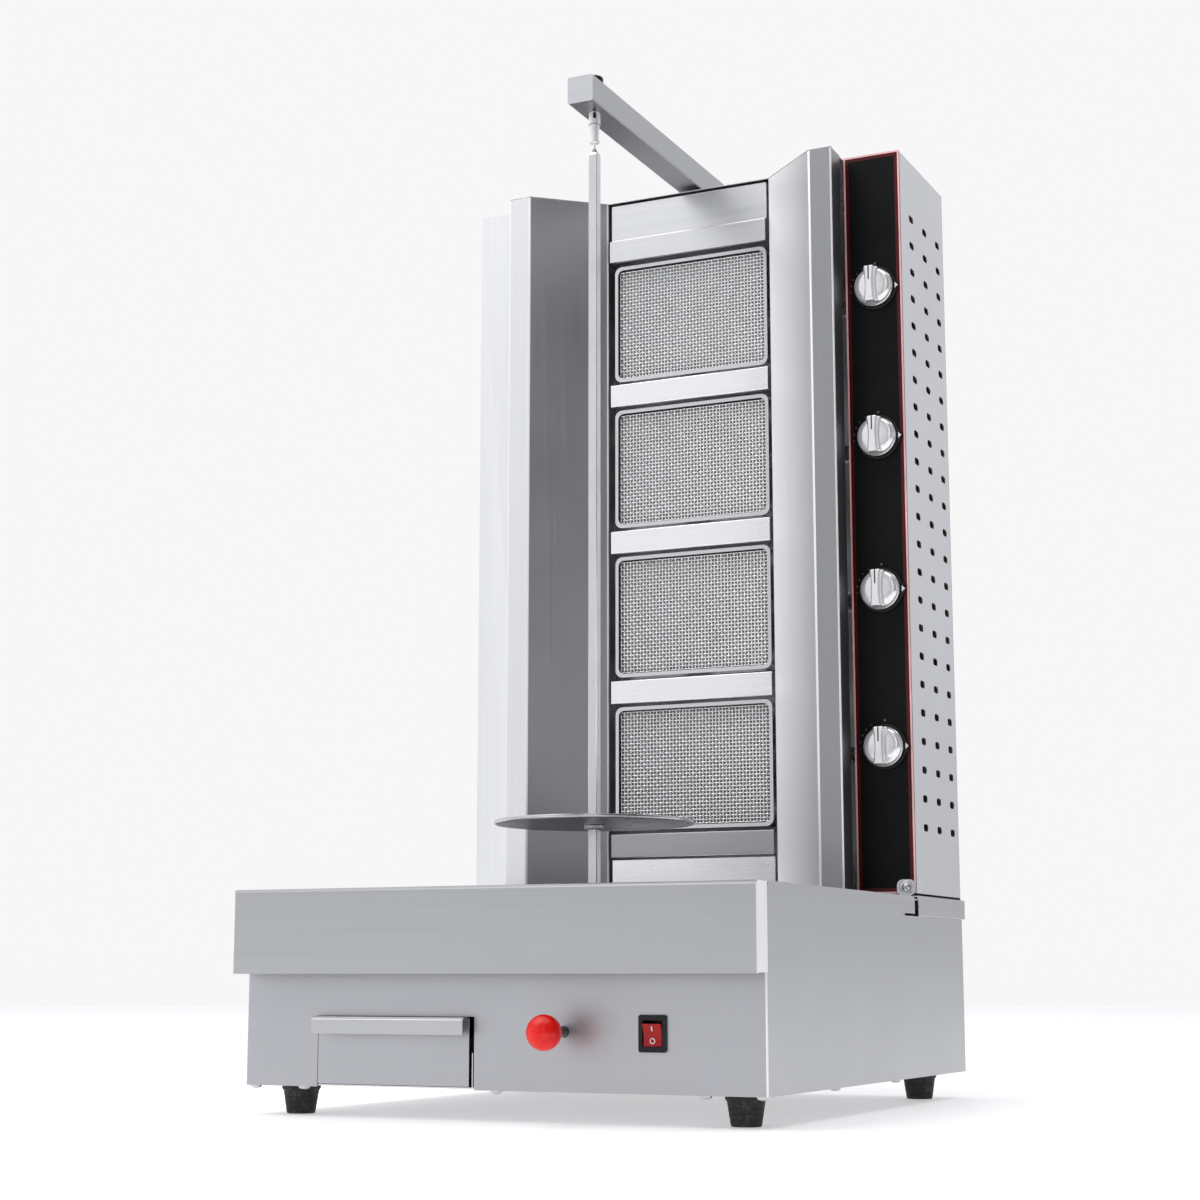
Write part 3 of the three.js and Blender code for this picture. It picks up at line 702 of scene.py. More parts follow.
    def finish(self, body: str, slot: str, paints: Sequence[Material],
               replaces: Iterable[str] = (), smooth: float = 40.0) -> bpy.types.Object:
        """Turns the mesh into an object that rides on a body.

        Args:
            body: CAD body it moves with.
            slot: Material slot of the record; not used.
            paints: Materials, in the order of the face paint numbers.
            replaces: CAD nodes it stands for.
            smooth: Angle in degrees above which an edge stays sharp.

        Returns:
            The finished object.
        """
        data = bpy.data.meshes.new(self.name)
        fine = len(self.mesh.faces) > 20000
        normals = [] if fine else self.shaded(smooth)
        self.mesh.to_mesh(data)
        self.mesh.free()
        thing = linked(self.name, data)
        for paint in paints:
            data.materials.append(paint)
        for polygon in data.polygons:
            polygon.use_smooth = True
        if fine:
            data.set_sharp_from_angle(angle=math.radians(smooth))
        else:
            data.normals_split_custom_set(normals)
        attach(thing, body)
        for node in replaces:
            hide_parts(node)
        LOG.info("built %s on %s", self.name, body)
        return thing


def copied(node: str, name: str) -> Piece:
    """Starts a piece from a CAD node's shape.

    Args:
        node: The CAD node.
        name: The new piece's name.

    Returns:
        A piece with flat faces merged, ready for its edges to be rounded.
    """
    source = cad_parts[node]
    piece = Piece(name)
    piece.mesh.from_mesh(source.data)
    piece.mesh.transform(source.matrix_world)
    bmesh.ops.remove_doubles(piece.mesh, verts=piece.mesh.verts, dist=2e-6)
    bmesh.ops.dissolve_limit(piece.mesh, angle_limit=math.radians(1.0), verts=piece.mesh.verts,
                             edges=piece.mesh.edges)
    return piece


def long_fold(least: float, width: float) -> Callable[[bmesh.types.BMEdge], bool]:
    """A test for folds: long edges between two wide faces.

    Args:
        least: Shortest fold in millimetres.
        width: Narrowest neighbouring face in millimetres.

    Returns:
        The test.
    """

    def test(edge: bmesh.types.BMEdge) -> bool:
        """Whether the edge is a fold."""
        return edge.calc_length() > least * MM and all(
            2 * f.calc_area() / f.calc_perimeter() > width * MM for f in edge.link_faces)

    return test


def sheet_metal(node: str, name: str, paint: Callable[[bmesh.types.BMFace], int] | None = None,
                fold: float = 1.4, rim: float = 0.28, least: float = 20.0, width: float = 4.0,
                edge: int | None = None, corner: Callable[[bmesh.types.BMEdge], bool] | None = None) -> Piece:
    """A CAD sheet with rounded folds and broken rims.

    Args:
        node: The CAD node.
        name: The new piece's name.
        paint: Gives each face its material slot.
        fold: Outer fold radius in millimetres.
        rim: Rim rounding in millimetres.
        least: Shortest edge that counts as a fold, in millimetres.
        width: Narrowest face beside a fold, in millimetres.
        edge: Material slot of the folds, if they have their own, such as a painted highlight.
        corner: Test for an edge that is rolled to a wide radius.

    Returns:
        The piece.
    """
    piece = copied(node, name)
    if paint:
        for face in piece.mesh.faces:
            face.material_index = paint(face)
    if corner:
        piece.round_edges(3.6, 5, 25.0, corner)
    if fold:
        piece.round_edges(fold, 3, 25.0, long_fold(least, width))
        if edge is not None:
            layer = piece.round_layer()
            for face in piece.mesh.faces:
                if face[layer] == 1:
                    face.material_index = edge
    if rim:
        piece.round_edges(rim, 2, 40.0)
    return piece


def facing(axis: int, least: float = 0.6) -> Callable[[bmesh.types.BMFace], int]:
    """A paint rule: slot 1 for faces that look along an axis, otherwise slot 0."""
    return lambda face: 1 if abs(face.normal[axis]) > least else 0


def span(node: str) -> tuple[Vector, Vector]:
    """A CAD node's lowest and highest corners, in millimetres."""
    low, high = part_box(node)
    return Vector(low) / MM, Vector(high) / MM


def middle(node: str) -> Vector:
    """The middle of a CAD node's box, in millimetres."""
    low, high = span(node)
    return (low + high) / 2


def dome_screw(piece: Piece, axis: Axis, centre: Point2, face: float, side: int, radius: float = 3.6,
               paint: int = 0, tall: float = 0.0) -> None:
    """Adds a domed screw head with a cross recess.

    Args:
        piece: The piece it is added to.
        axis: The screw's axis.
        centre: The two other coordinates of the axis.
        face: Station of the face the head sits on.
        side: Which way the head stands out, 1 or -1.
        radius: Head radius.
        paint: Material slot.
        tall: Height of the head, or 0 for the usual one.
    """
    high = tall or radius * 0.55
    profile = [(radius, face), (radius, face + side * 0.35 * high), (radius * 0.86, face + side * 0.75 * high),
               (radius * 0.55, face + side * 0.95 * high), (radius * 0.22, face + side * high),
               (radius * 0.18, face + side * 0.45 * high), (0.0, face + side * 0.4 * high)]
    piece.turned(axis, profile, centre, 24, paint)


@dataclass
class Cabinet:
    """The base box with its floor, feet, rear band and fixings."""

    finishes: Finishes
    screw_xs: tuple[float, ...] = (-209.0, 1.0, 211.0)
    screw_ys: tuple[float, ...] = (-290.0, -101.0, 84.0, 270.0)
    foot_rings: int = 3
    gland_nut: float = 12.0
    floor_under: float = 28.95
    rear_zs: tuple[float, ...] = (235.0, 510.0, 780.0, 1040.0)
    rear_xs: tuple[float, ...] = (-180.0, -60.0, 60.0, 180.0)
    tab: Point2 = (257.3, 226.3)

    def build(self) -> None:
        """Builds every piece of the base."""
        self.shell()
        self.feet()
        self.fixings()
        self.gland()

    def shell(self) -> None:
        """Builds the stainless box, its floor, deck and rear band."""
        f = self.finishes
        # Its folds take the painted highlight finish.
        sheet_metal("cabinet_shell", "cabinet_skin", facing(0), fold=1.5, least=60.0, edge=2).finish(
            "base", "sheet_steel", [f.base_front, f.base_side, f.edge], ["cabinet_shell"])
        sheet_metal("base_plate", "floor_plate").finish(
            "base", "sheet_steel", [f.sheet_across], ["base_plate"])
        sheet_metal("deck_plate", "deck_sheet").finish("base", "sheet_steel", [f.sheet_across], ["deck_plate"])
        # Its folds take the painted highlight finish.
        sheet_metal("tower_belt", "rear_band", facing(0), fold=1.0, rim=0.25, edge=2).finish(
            "base", "sheet_steel", [f.sheet_across, f.base_side, f.edge], ["tower_belt"])

    def feet(self) -> None:
        """Builds the four tapered rubber feet with their moulded rings."""
        for key in ("fl", "fr", "rl", "rr"):
            node = f"foot_{key}"
            low, high = span(node)
            centre = middle(node)
            top = high.z
            wide = (high.x - low.x) / 2
            narrow = wide * 0.735
            profile: list[Point2] = [(0.0, 0.6), (narrow - 3.0, 0.6), (narrow - 2.4, 0.0), (narrow - 0.9, 0.0),
                                     (narrow, 0.9)]
            for k in range(1, self.foot_rings + 1):
                z = 1.5 + (top - 8.0) * k / (self.foot_rings + 1)
                r = narrow + (wide - 1.6 - narrow) * z / (top - 6.0)
                profile += [(r - 0.1, z - 0.5), (r - 0.5, z), (r, z + 0.5)]
            profile += [(wide - 1.7, top - 6.0), (wide - 0.5, top - 4.6), (wide, top - 3.6), (wide, top - 0.9),
                        (wide - 0.8, top), (0.0, top)]
            Piece(f"rubber_foot_{key}").turned(Axis.Z, profile, (centre.x, centre.y), 64).finish(
                "base", "foot_rubber", [self.finishes.rubber], [node], 50.0)

    def fixings(self) -> None:
        """Builds the screws under the floor, on the rear band and on the back."""
        low, high = span("cabinet_shell")
        piece = Piece("floor_screws")
        for x in self.screw_xs:
            for y in (self.screw_ys[0], high.y - 12.0):
                dome_screw(piece, Axis.Z, (x, y), self.floor_under, -1, 5.6, 0, 4.2)
        for y in self.screw_ys[:3]:
            for x in (low.x + 8.0, high.x - 8.0):
                dome_screw(piece, Axis.Z, (x, y), self.floor_under, -1, 5.6, 0, 4.2)
        piece.finish("base", "bracket_steel", [self.finishes.screw])
        piece = Piece("band_screws")
        tab = span("tower_belt")
        for side in (-1, 1):
            x = side * self.tab[0]
            piece.turned(Axis.Y, [(7.2, tab[0].y + 6.5), (7.2, tab[0].y + 5.9), (6.6, tab[0].y + 5.5),
                                  (3.0, tab[0].y + 5.4), (0.0, tab[0].y + 5.4)], (x, self.tab[1]), 40)
            dome_screw(piece, Axis.Y, (x, self.tab[1]), tab[0].y + 5.5, -1, 4.2)
        piece.finish("base", "bracket_steel", [self.finishes.screw])
        piece = Piece("rear_screws")
        back = span("tower_back")[1].y
        for z in self.rear_zs:
            for x in (-258.0, 258.0):
                dome_screw(piece, Axis.Y, (x, z), back, 1, 3.4)
        for x in self.rear_xs:
            dome_screw(piece, Axis.Y, (x, 206.5), back, 1, 3.4)
        piece.finish("base", "bracket_steel", [self.finishes.screw])

    def gland(self) -> None:
        """Builds the cord gland with its hexagon and dome nut."""
        c = middle("cable_gland")
        y0 = span("cabinet_shell")[1].y
        x, z = c.x, c.z
        piece = Piece("cord_gland")
        piece.prism(Axis.Y, polygon((x, z), self.gland_nut, 6), y0 + 0.3, y0 + 7.0)
        piece.round_edges(0.6, 2)
        piece.turned(Axis.Y, [(4.5, y0 - 7.5), (7.9, y0 - 7.5), (7.9, y0 + 7.0), (9.4, y0 + 7.0), (9.4, y0 + 12.0),
                              (8.6, y0 + 15.5), (6.6, y0 + 18.0), (4.5, y0 + 18.0), (4.5, y0 - 7.5)], (x, z), 48)
        piece.finish("base", "black_plastic", [self.finishes.black], ["cable_gland"], 45.0)


@dataclass
class DripParts:
    """The drip pan with its apron, and the pull-out fat drawer."""

    finishes: Finishes

    def build(self) -> None:
        """Builds the pan and the drawer."""
        f = self.finishes
        sheet_metal("drip_pan", "drip_pan_sheet", facing(0), fold=1.6).finish(
            "base", "sheet_steel", [f.base_front, f.base_side], ["drip_pan"])
        # Its sides and folds take the painted highlight finish.
        sheet_metal("front_apron", "apron_sheet", facing(0), fold=1.4, rim=0.6, edge=2).finish(
            "base", "sheet_steel", [f.apron, f.edge, f.edge], ["front_apron"])
        sheet_metal("drain_spout", "drain_tube", fold=0.0).finish(
            "base", "sheet_steel", [f.base_side], ["drain_spout"])
        self.drawer()

    def drawer(self) -> None:
        """Builds the fat drawer with its folded pull."""
        f = self.finishes
        lip = (span("cabinet_shell")[0].y - 10.0) * MM

        def paint(face: bmesh.types.BMFace) -> int:
            """Slot 2 for the pull's lip, 3 for its fold, which takes the painted highlight finish, and 1 for the
            sides.

            Args:
                face: A face of the sheet.

            Returns:
                The slot.
            """
            if face.normal.y < -0.3 and face.calc_center_median().y < lip:
                return 3 if face.normal.z > 0.3 else 2
            return 1 if abs(face.normal.x) > 0.6 else 0

        sheet_metal("drip_drawer", "fat_drawer", paint, fold=0.9, rim=0.3, width=3.0).finish(
            "drawer", "sheet_steel", [f.base_front, f.base_side, f.pull, f.edge], ["drip_drawer"])


@dataclass
class SpitDrive:
    """The sliding gear motor with its rails, pull rod and red ball."""

    finishes: Finishes
    fins: int = 7
    fin_foot: float = 62.0
    fin_pitch: float = 8.0

    def build(self) -> None:
        """Builds every piece of the drive."""
        f = self.finishes
        sheet_metal("carriage_track", "slide_track", fold=0.8).finish(
            "base", "bracket_steel", [f.zinc], ["carriage_track"])
        sheet_metal("motor_carriage", "motor_bracket", fold=0.0, rim=0.5).finish(
            "carriage", "bracket_steel", [f.zinc], ["motor_carriage"])
        self.motor()
        self.handle()

    def motor(self) -> None:
        """Builds the gearbox with its cover screws and the finned motor can."""
        low, high = span("gear_motor")
        piece = copied("gear_motor", "gear_motor_body")
        piece.round_edges(1.2, 3, 40.0)
        y = (low.y + high.y) / 2
        for k in range(self.fins):
            z = self.fin_foot + self.fin_pitch * k
            piece.turned(Axis.Z, [(30.0, z), (30.9, z), (30.9, z + 3.0), (30.0, z + 3.0), (30.0, z)], (24.0, y), 48)
        for x in (-14.0, 52.0):
            for dy in (-32.0, 32.0):
                dome_screw(piece, Axis.Z, (x, y + dy), 122.0, -1, 3.4)
        piece.finish("carriage", "motor_paint", [self.finishes.motor], ["gear_motor"])

    def handle(self) -> None:
        """Builds the chrome pull rod, its collar and the red ball."""
        rod = span("push_rod")
        c = middle("push_rod")
        ball = middle("ball_knob")
        r = (rod[1].x - rod[0].x) / 2
        Piece("pull_rod").turned(Axis.Y, [
            (0.0, rod[0].y), (3.2, rod[0].y), (3.5, rod[0].y + 0.6), (3.5, ball.y + 13.0), (r - 0.5, ball.y + 13.0),
            (r, ball.y + 13.8), (r, rod[1].y - 0.6), (r - 0.6, rod[1].y), (0.0, rod[1].y)], (c.x, c.z), 48).finish(
            "carriage", "blackened_steel", [self.finishes.dark_rod], ["push_rod"], 45.0)
        low, high = span("ball_knob")
        big = (high.x - low.x) / 2
        heart = low.y + big
        profile: list[Point2] = [(0.0, low.y)]
        for k in range(1, 40):
            a = math.pi * k / 48
            profile.append((big * math.sin(a), heart - big * math.cos(a)))
        neck = profile[-1][1]
        profile += [(5.9, neck + 0.4), (5.5, neck + 0.2), (5.4, neck - 3.0), (5.4, neck - 5.0), (3.8, neck - 5.0)]
        Piece("pull_ball").turned(Axis.Y, profile, (c.x, c.z), 72).finish(
            "carriage", "red_ball", [self.finishes.ball], ["ball_knob"], 50.0)


@dataclass
class Spit:
    """The chuck, the square spit and its meat plate."""

    finishes: Finishes
    groove_rings: tuple[float, ...] = (38.0, 62.0, 86.0)
    plate_faces: Point2 = (286.0, 290.5)
    neck_hole: Point2 = (1.18, 8.9)

    def build(self) -> None:
        """Builds every turning piece."""
        f = self.finishes
        copied("spit_chuck", "drive_chuck").round_edges(0.5, 2, 40.0).finish(
            "spit", "polished_steel", [f.spit], ["spit_chuck"])
        self.rod()
        self.plate()

    def rod(self) -> None:
        """Builds the square spit, drawn in at its top to a small drilled point."""
        low, high = span("spit_rod")
        c = middle("spit_rod")
        half = (high.x - low.x) / 2
        piece = Piece("square_spit")
        rings = []
        for z, reach in ((low.z, half - 0.6), (low.z + 0.8, half), (high.z - 8.4, half), (high.z - 6.4, half * 0.9),
                         (high.z - 4.9, half * 0.68), (high.z - 3.8, half * 0.46), (high.z, half * 0.3)):
            rings.append([piece.mesh.verts.new(Vector((c.x + i * reach, c.y + j * reach, z)) * MM)
                          for i, j in ((-1, -1), (1, -1), (1, 1), (-1, 1))])
        piece.skin(rings)
        piece.round_edges(0.7, 3, 40.0)
        # The drawn-in tip takes the darker plate steel: painted shade.
        for face in piece.mesh.faces:
            face.material_index = 1 if face.calc_center_median().z > (high.z - 5.2) * MM else 0
        r, deep = self.neck_hole
        hole = [(0.0, high.z - deep), (r, high.z - deep), (r, high.z + 1.0), (0.0, high.z + 1.0)]
        piece.cut(Piece("neck_hole").turned(Axis.Z, hole, (c.x, c.y), 24))
        piece.finish("spit", "polished_steel", [self.finishes.spit, self.finishes.plate_painted_shade], ["spit_rod"])

    def plate(self) -> None:
        """Builds the round plate with a rolled rim, pressed rings, hub and clamp screw."""
        low, high = span("meat_plate")
        c = middle("meat_plate")
        r = (high.x - low.x) / 2
        z0, z1 = self.plate_faces
        under: list[Point2] = [(7.4, low.z), (9.6, low.z), (10.5, low.z + 0.9), (10.5, z0 - 0.8), (11.3, z0)]
        over: list[Point2] = []
        for ring in self.groove_rings:
            under += [(ring - 1.4, z0), (ring, z0 + 0.7), (ring + 1.4, z0)]
        under += [(r - 1.8, z0), (r - 0.6, z0 + 0.5), (r, z0 + 1.7), (r, z1 - 1.4), (r - 0.5, z1 - 0.3),
                  (r - 1.5, z1)]
        for ring in reversed(self.groove_rings):
            over += [(ring + 1.4, z1), (ring, z1 - 0.7), (ring - 1.4, z1)]
        over += [(11.3, z1), (10.5, z1 + 0.8), (10.5, high.z - 0.9), (9.6, high.z), (7.4, high.z), (7.4, low.z)]
        piece = Piece("meat_disc").turned(Axis.Z, under + over, (c.x, c.y), 96)
        piece.prism(Axis.Z, [(-5.35, c.y - 5.35), (-7.6, c.y - 7.6), (7.6, c.y - 7.6), (7.6, c.y + 7.6),
                             (-7.6, c.y + 7.6), (-7.6, c.y - 7.5), (-5.35, c.y - 5.25), (-5.35, c.y + 5.35),
                             (5.35, c.y + 5.35), (5.35, c.y - 5.35)], low.z + 0.4, high.z - 0.4)
        # Faces looking down take the darker plate steel: painted shade on the underside.
        for face in piece.mesh.faces:
            face.material_index = 1 if face.normal.z < -0.6 else 0
        piece.finish("spit", "polished_steel", [self.finishes.plate, self.finishes.plate_painted_shade], ["meat_plate"], 35.0)


@dataclass
class TopArm:
    """The telescoping square arm and its centre pin."""

    finishes: Finishes
    bore_reach: Point2 = (1040.0, 1061.5)
    bore_radius: float = 5.8
    slot_turns: Point2 = (-1.12, 2.02)
    slot_height: float = 1054.2
    slot_depth: Point2 = (5.9, 6.5)

    def build(self) -> None:
        """Builds the arm, its mount, the pin and the cap."""
        f = self.finishes
        c = middle("top_pin")
        (z0, z1), r = self.bore_reach, self.bore_radius
        bore = Piece("bore").turned(Axis.Z, [(0.0, z0), (r, z0), (r, z1), (0.0, z1)], (c.x, c.y), 48)
        sheet_metal("top_arm", "arm_tube", self.tone, fold=1.8, rim=0.3, width=8.0).cut(bore).finish(
            "arm", "sheet_steel", [f.arm, f.arm_end, f.arm_painted_shade, f.sleeve], ["top_arm"])
        sheet_metal("arm_mount", "arm_bracket", fold=1.2, rim=0.3).finish(
            "base", "sheet_steel", [f.sheet_across], ["arm_mount"])
        self.pin()

    @staticmethod
    def tone(face: bmesh.types.BMFace) -> int:
        """Slot 1 for the ends, 2 for the underside, which takes painted shade, 3 for the boss and 0 for the sides.

        Args:
            face: A face of the arm.

        Returns:
            The slot.
        """
        centre = face.calc_center_median() / MM
        if centre.z < 1057.8:
            return 3
        if face.normal.z < -0.8:
            return 2
        return 1 if abs(face.normal.y) > 0.8 else 0

    def pin(self) -> None:
        """Builds the centre pin with its collar, cross hole marks of painted shade and black cap."""
        low, high = span("top_pin")
        c = middle("top_pin")
        Piece("centre_pin").turned(Axis.Z, [
            (0.0, low.z), (0.8, low.z), (1.1, low.z + 0.5), (1.1, 1023.4), (1.8, 1024.0), (5.0, 1024.2),
            (5.5, 1024.8), (5.5, 1026.6), (5.0, 1027.2), (4.3, 1027.6), (4.3, 1029.2), (5.6, 1044.6), (4.1, 1045.0),
            (4.1, high.z - 0.6), (3.5, high.z), (0.0, high.z)], (c.x, c.y), 40).finish(
            "pin", "chrome", [self.finishes.sleeve], ["top_pin"], 45.0)
        slot = Piece("boss_slot_painted_shade")
        for turn in self.slot_turns:
            self.slot(slot, (c.x, c.y), turn)
        slot.finish("arm", "black_plastic", [self.finishes.black])
        low, high = span("pin_cap")
        r = (high.x - low.x) / 2
        profile: list[Point2] = [(4.5, low.z + 0.5), (4.6, low.z), (r - 0.8, low.z), (r, low.z + 0.8),
                                 (r, high.z - 3.0), (r - 0.6, high.z - 1.4), (r - 2.2, high.z - 0.3),
                                 (r - 4.0, high.z), (0.0, high.z)]
        piece = Piece("pin_knob").turned(Axis.Z, profile, (c.x, c.y), 60)
        piece.finish("pin", "black_plastic", [self.finishes.black], ["pin_cap"], 50.0)

    def slot(self, piece: Piece, centre: Point2, turn: float) -> None:
        """Adds one mouth of the boss's cross slot, as a black inlay of painted shade.

        Args:
            piece: The piece it is added to.
            centre: Axis of the pin.
            turn: Direction it faces, in radians about the axis.
        """
        outline = [(1.7 * math.cos(a), self.slot_height + (2.0 if math.sin(a) > 0 else -2.0) + 1.7 * math.sin(a))
                   for a in (math.radians(15 + 30 * k) for k in range(12))]
        inlay = Piece("inlay").prism(Axis.X, outline, *self.slot_depth)
        place = Matrix.Translation((centre[0] * MM, centre[1] * MM, 0.0))
        inlay.mesh.transform(place @ Matrix.Rotation(turn, 4, "Z"))
        data = bpy.data.meshes.new("inlay")
        inlay.mesh.to_mesh(data)
        piece.mesh.from_mesh(data)
        bpy.data.meshes.remove(data)


@dataclass
class Tower:
    """The sheet-metal tower: wings, side boxes, back, roof and front bars."""

    finishes: Finishes

    def build(self) -> None:
        """Builds every sheet of the tower."""
        f = self.finishes
        self.wings()
        for node, name in (("side_box_left", "left_box"), ("control_box", "right_box")):
            # Their folds take the painted highlight finish.
            sheet_metal(node, name, facing(0), fold=1.0, rim=0.35, least=60.0, edge=2,
                        corner=self.outer_top).finish(
                "base", "sheet_steel", [f.box_front, f.perforated, f.edge], [node])
        for node, name, paint in (("tower_back", "back_sheet", f.sheet_up),
                                  ("tower_roof", "roof_sheet", f.sheet_across), ("lower_panel", "lower_sheet", f.bar)):
            sheet_metal(node, name, fold=1.0, rim=0.3, width=8.0).finish("base", "sheet_steel", [paint], [node])
        # Its folds take the painted highlight finish.
        sheet_metal("header_panel", "header_sheet", fold=1.0, rim=0.3, width=8.0, edge=1).finish(
            "base", "sheet_steel", [f.header, f.edge], ["header_panel"])
        for k in range(1, 5):
            sheet_metal(f"cross_bar_{k}", f"bright_bar_{k}", fold=1.3, rim=0.3, width=4.5).finish(
                "base", "sheet_steel", [f.bar if k < 4 else f.shade], [f"cross_bar_{k}"])

    @staticmethod
    def outer_top(edge: bmesh.types.BMEdge) -> bool:
        """Whether an edge is the outer top corner of a side box."""
        return all(abs(v.co.x) > 0.2675 and v.co.z > 1.0555 for v in edge.verts)

    def wings(self) -> None:
        """Builds the two folded wings, with painted highlights on their folds and painted light and shade on their
        panels and strips.
        """
        f = self.finishes
        # The left wing takes the shaded panel and the lit strip, the right wing the lit panel and the shaded strip:
        # painted light and shade.
        for side, inner, strip in (("left", 4, 3), ("right", 0, 1)):

            def paint(face: bmesh.types.BMFace, tones: Point2 = (inner, strip)) -> int:
                """The slot for the slanting panel or the front strip: each takes a lit or a shaded copy of the same
                steel, painted light and shade.

                Args:
                    face: A face of the sheet.
                    tones: Slots of the panel and the strip.

                Returns:
                    The slot.
                """
                if face.normal.y < -0.4 and abs(face.normal.x) > 0.4:
                    return tones[0]
                if face.normal.y < -0.9:
                    return tones[1]
                return 1

            sheet_metal(f"wing_{side}", f"wind_wing_{side}", paint, fold=1.7, rim=0.35, width=8.0, edge=2).finish(
                "base", "sheet_steel", [f.wing_painted_light, f.wing_shade, f.edge, f.strip, f.wing_painted_shade], [f"wing_{side}"])


@dataclass
class Burners:
    """Four infrared burners, each with a pressed frame, a tile and a woven screen."""

    finishes: Finishes
    pitch: float = 4.1
    wire: float = 0.85
    lift: float = 0.75
    steps: int = 2
    sides: int = 6

    def build(self) -> None:
        """Builds the four burners."""
        for k in range(1, 5):
            self.body(k)
            self.screen(k)

    def body(self, k: int) -> None:
        """Builds a burner's frame and chamber, with the tile painted on its own face.

        Args:
            k: Number of the burner, from the top.
        """

        def paint(face: bmesh.types.BMFace) -> int:
            """Slot 1 for the tile at the back of the window, 2 for the window's inner walls, which take painted shade.

            Args:
                face: A face of the sheet.

            Returns:
                The slot.
            """
            centre = face.calc_center_median()
            if abs(centre.y - 0.189) < 2e-4 and face.normal.y < -0.9:
                return 1
            inner = abs(centre.x) < 0.0936 and abs(centre.z - middle(f"burner_{k}").z * MM) < 0.0673
            return 2 if inner and 0.1828 < centre.y < 0.1892 else 0

        sheet_metal(f"burner_{k}", f"burner_frame_{k}", paint, fold=1.6, rim=0.5, width=2.5).finish(
            "base", "burner_steel", [self.finishes.frame, self.finishes.tile, self.finishes.reveal],
            [f"burner_{k}"])

    def screen(self, k: int) -> None:
        """Builds a woven screen of round wires in both directions.

        Args:
            k: Number of the burner, from the top.
        """
        low, high = span(f"burner_mesh_{k}")
        y = (low.y + high.y) / 2
        piece = Piece(f"woven_screen_{k}")
        across = int((high.x - low.x - 1.6) / self.pitch)
        up = int((high.z - low.z - 1.6) / self.pitch)
        x0 = (low.x + high.x - across * self.pitch) / 2
        z0 = (low.z + high.z - up * self.pitch) / 2
        for i in range(across + 1):
            points = []
            for j in range(up * self.steps + 1):
                wave = math.cos(math.pi * (j / self.steps + i))
                points.append((x0 + i * self.pitch, y + self.lift * wave, z0 + j * self.pitch / self.steps))
            self.strand(piece, points, Axis.Z)
        for j in range(up + 1):
            points = []
            for i in range(across * self.steps + 1):
                wave = -math.cos(math.pi * (i / self.steps + j))
                points.append((x0 + i * self.pitch / self.steps, y + self.lift * wave, z0 + j * self.pitch))
            self.strand(piece, points, Axis.X)
        bmesh.ops.recalc_face_normals(piece.mesh, faces=piece.mesh.faces)
        piece.finish("base", "burner_mesh", [self.finishes.wire], [f"burner_mesh_{k}"], 75.0)

    def strand(self, piece: Piece, points: Sequence[Point3], run: Axis) -> None:
        """Adds one wire.

        Args:
            piece: The screen it belongs to.
            points: Centre points in millimetres.
            run: The axis the wire runs along.
        """
        turns = [2.0 * math.pi * q / self.sides for q in range(self.sides)]
        corners = [(self.wire * math.cos(a), self.wire * math.sin(a)) for a in turns]
        rings = []
        for x, y, z in points:
            ring = []
            for a, b in corners:
                offset = (a, b, 0.0) if run is Axis.Z else (0.0, a, b)
                ring.append(piece.mesh.verts.new(Vector((x + offset[0], y + offset[1], z + offset[2])) * MM))
            rings.append(ring)
        piece.skin(rings)


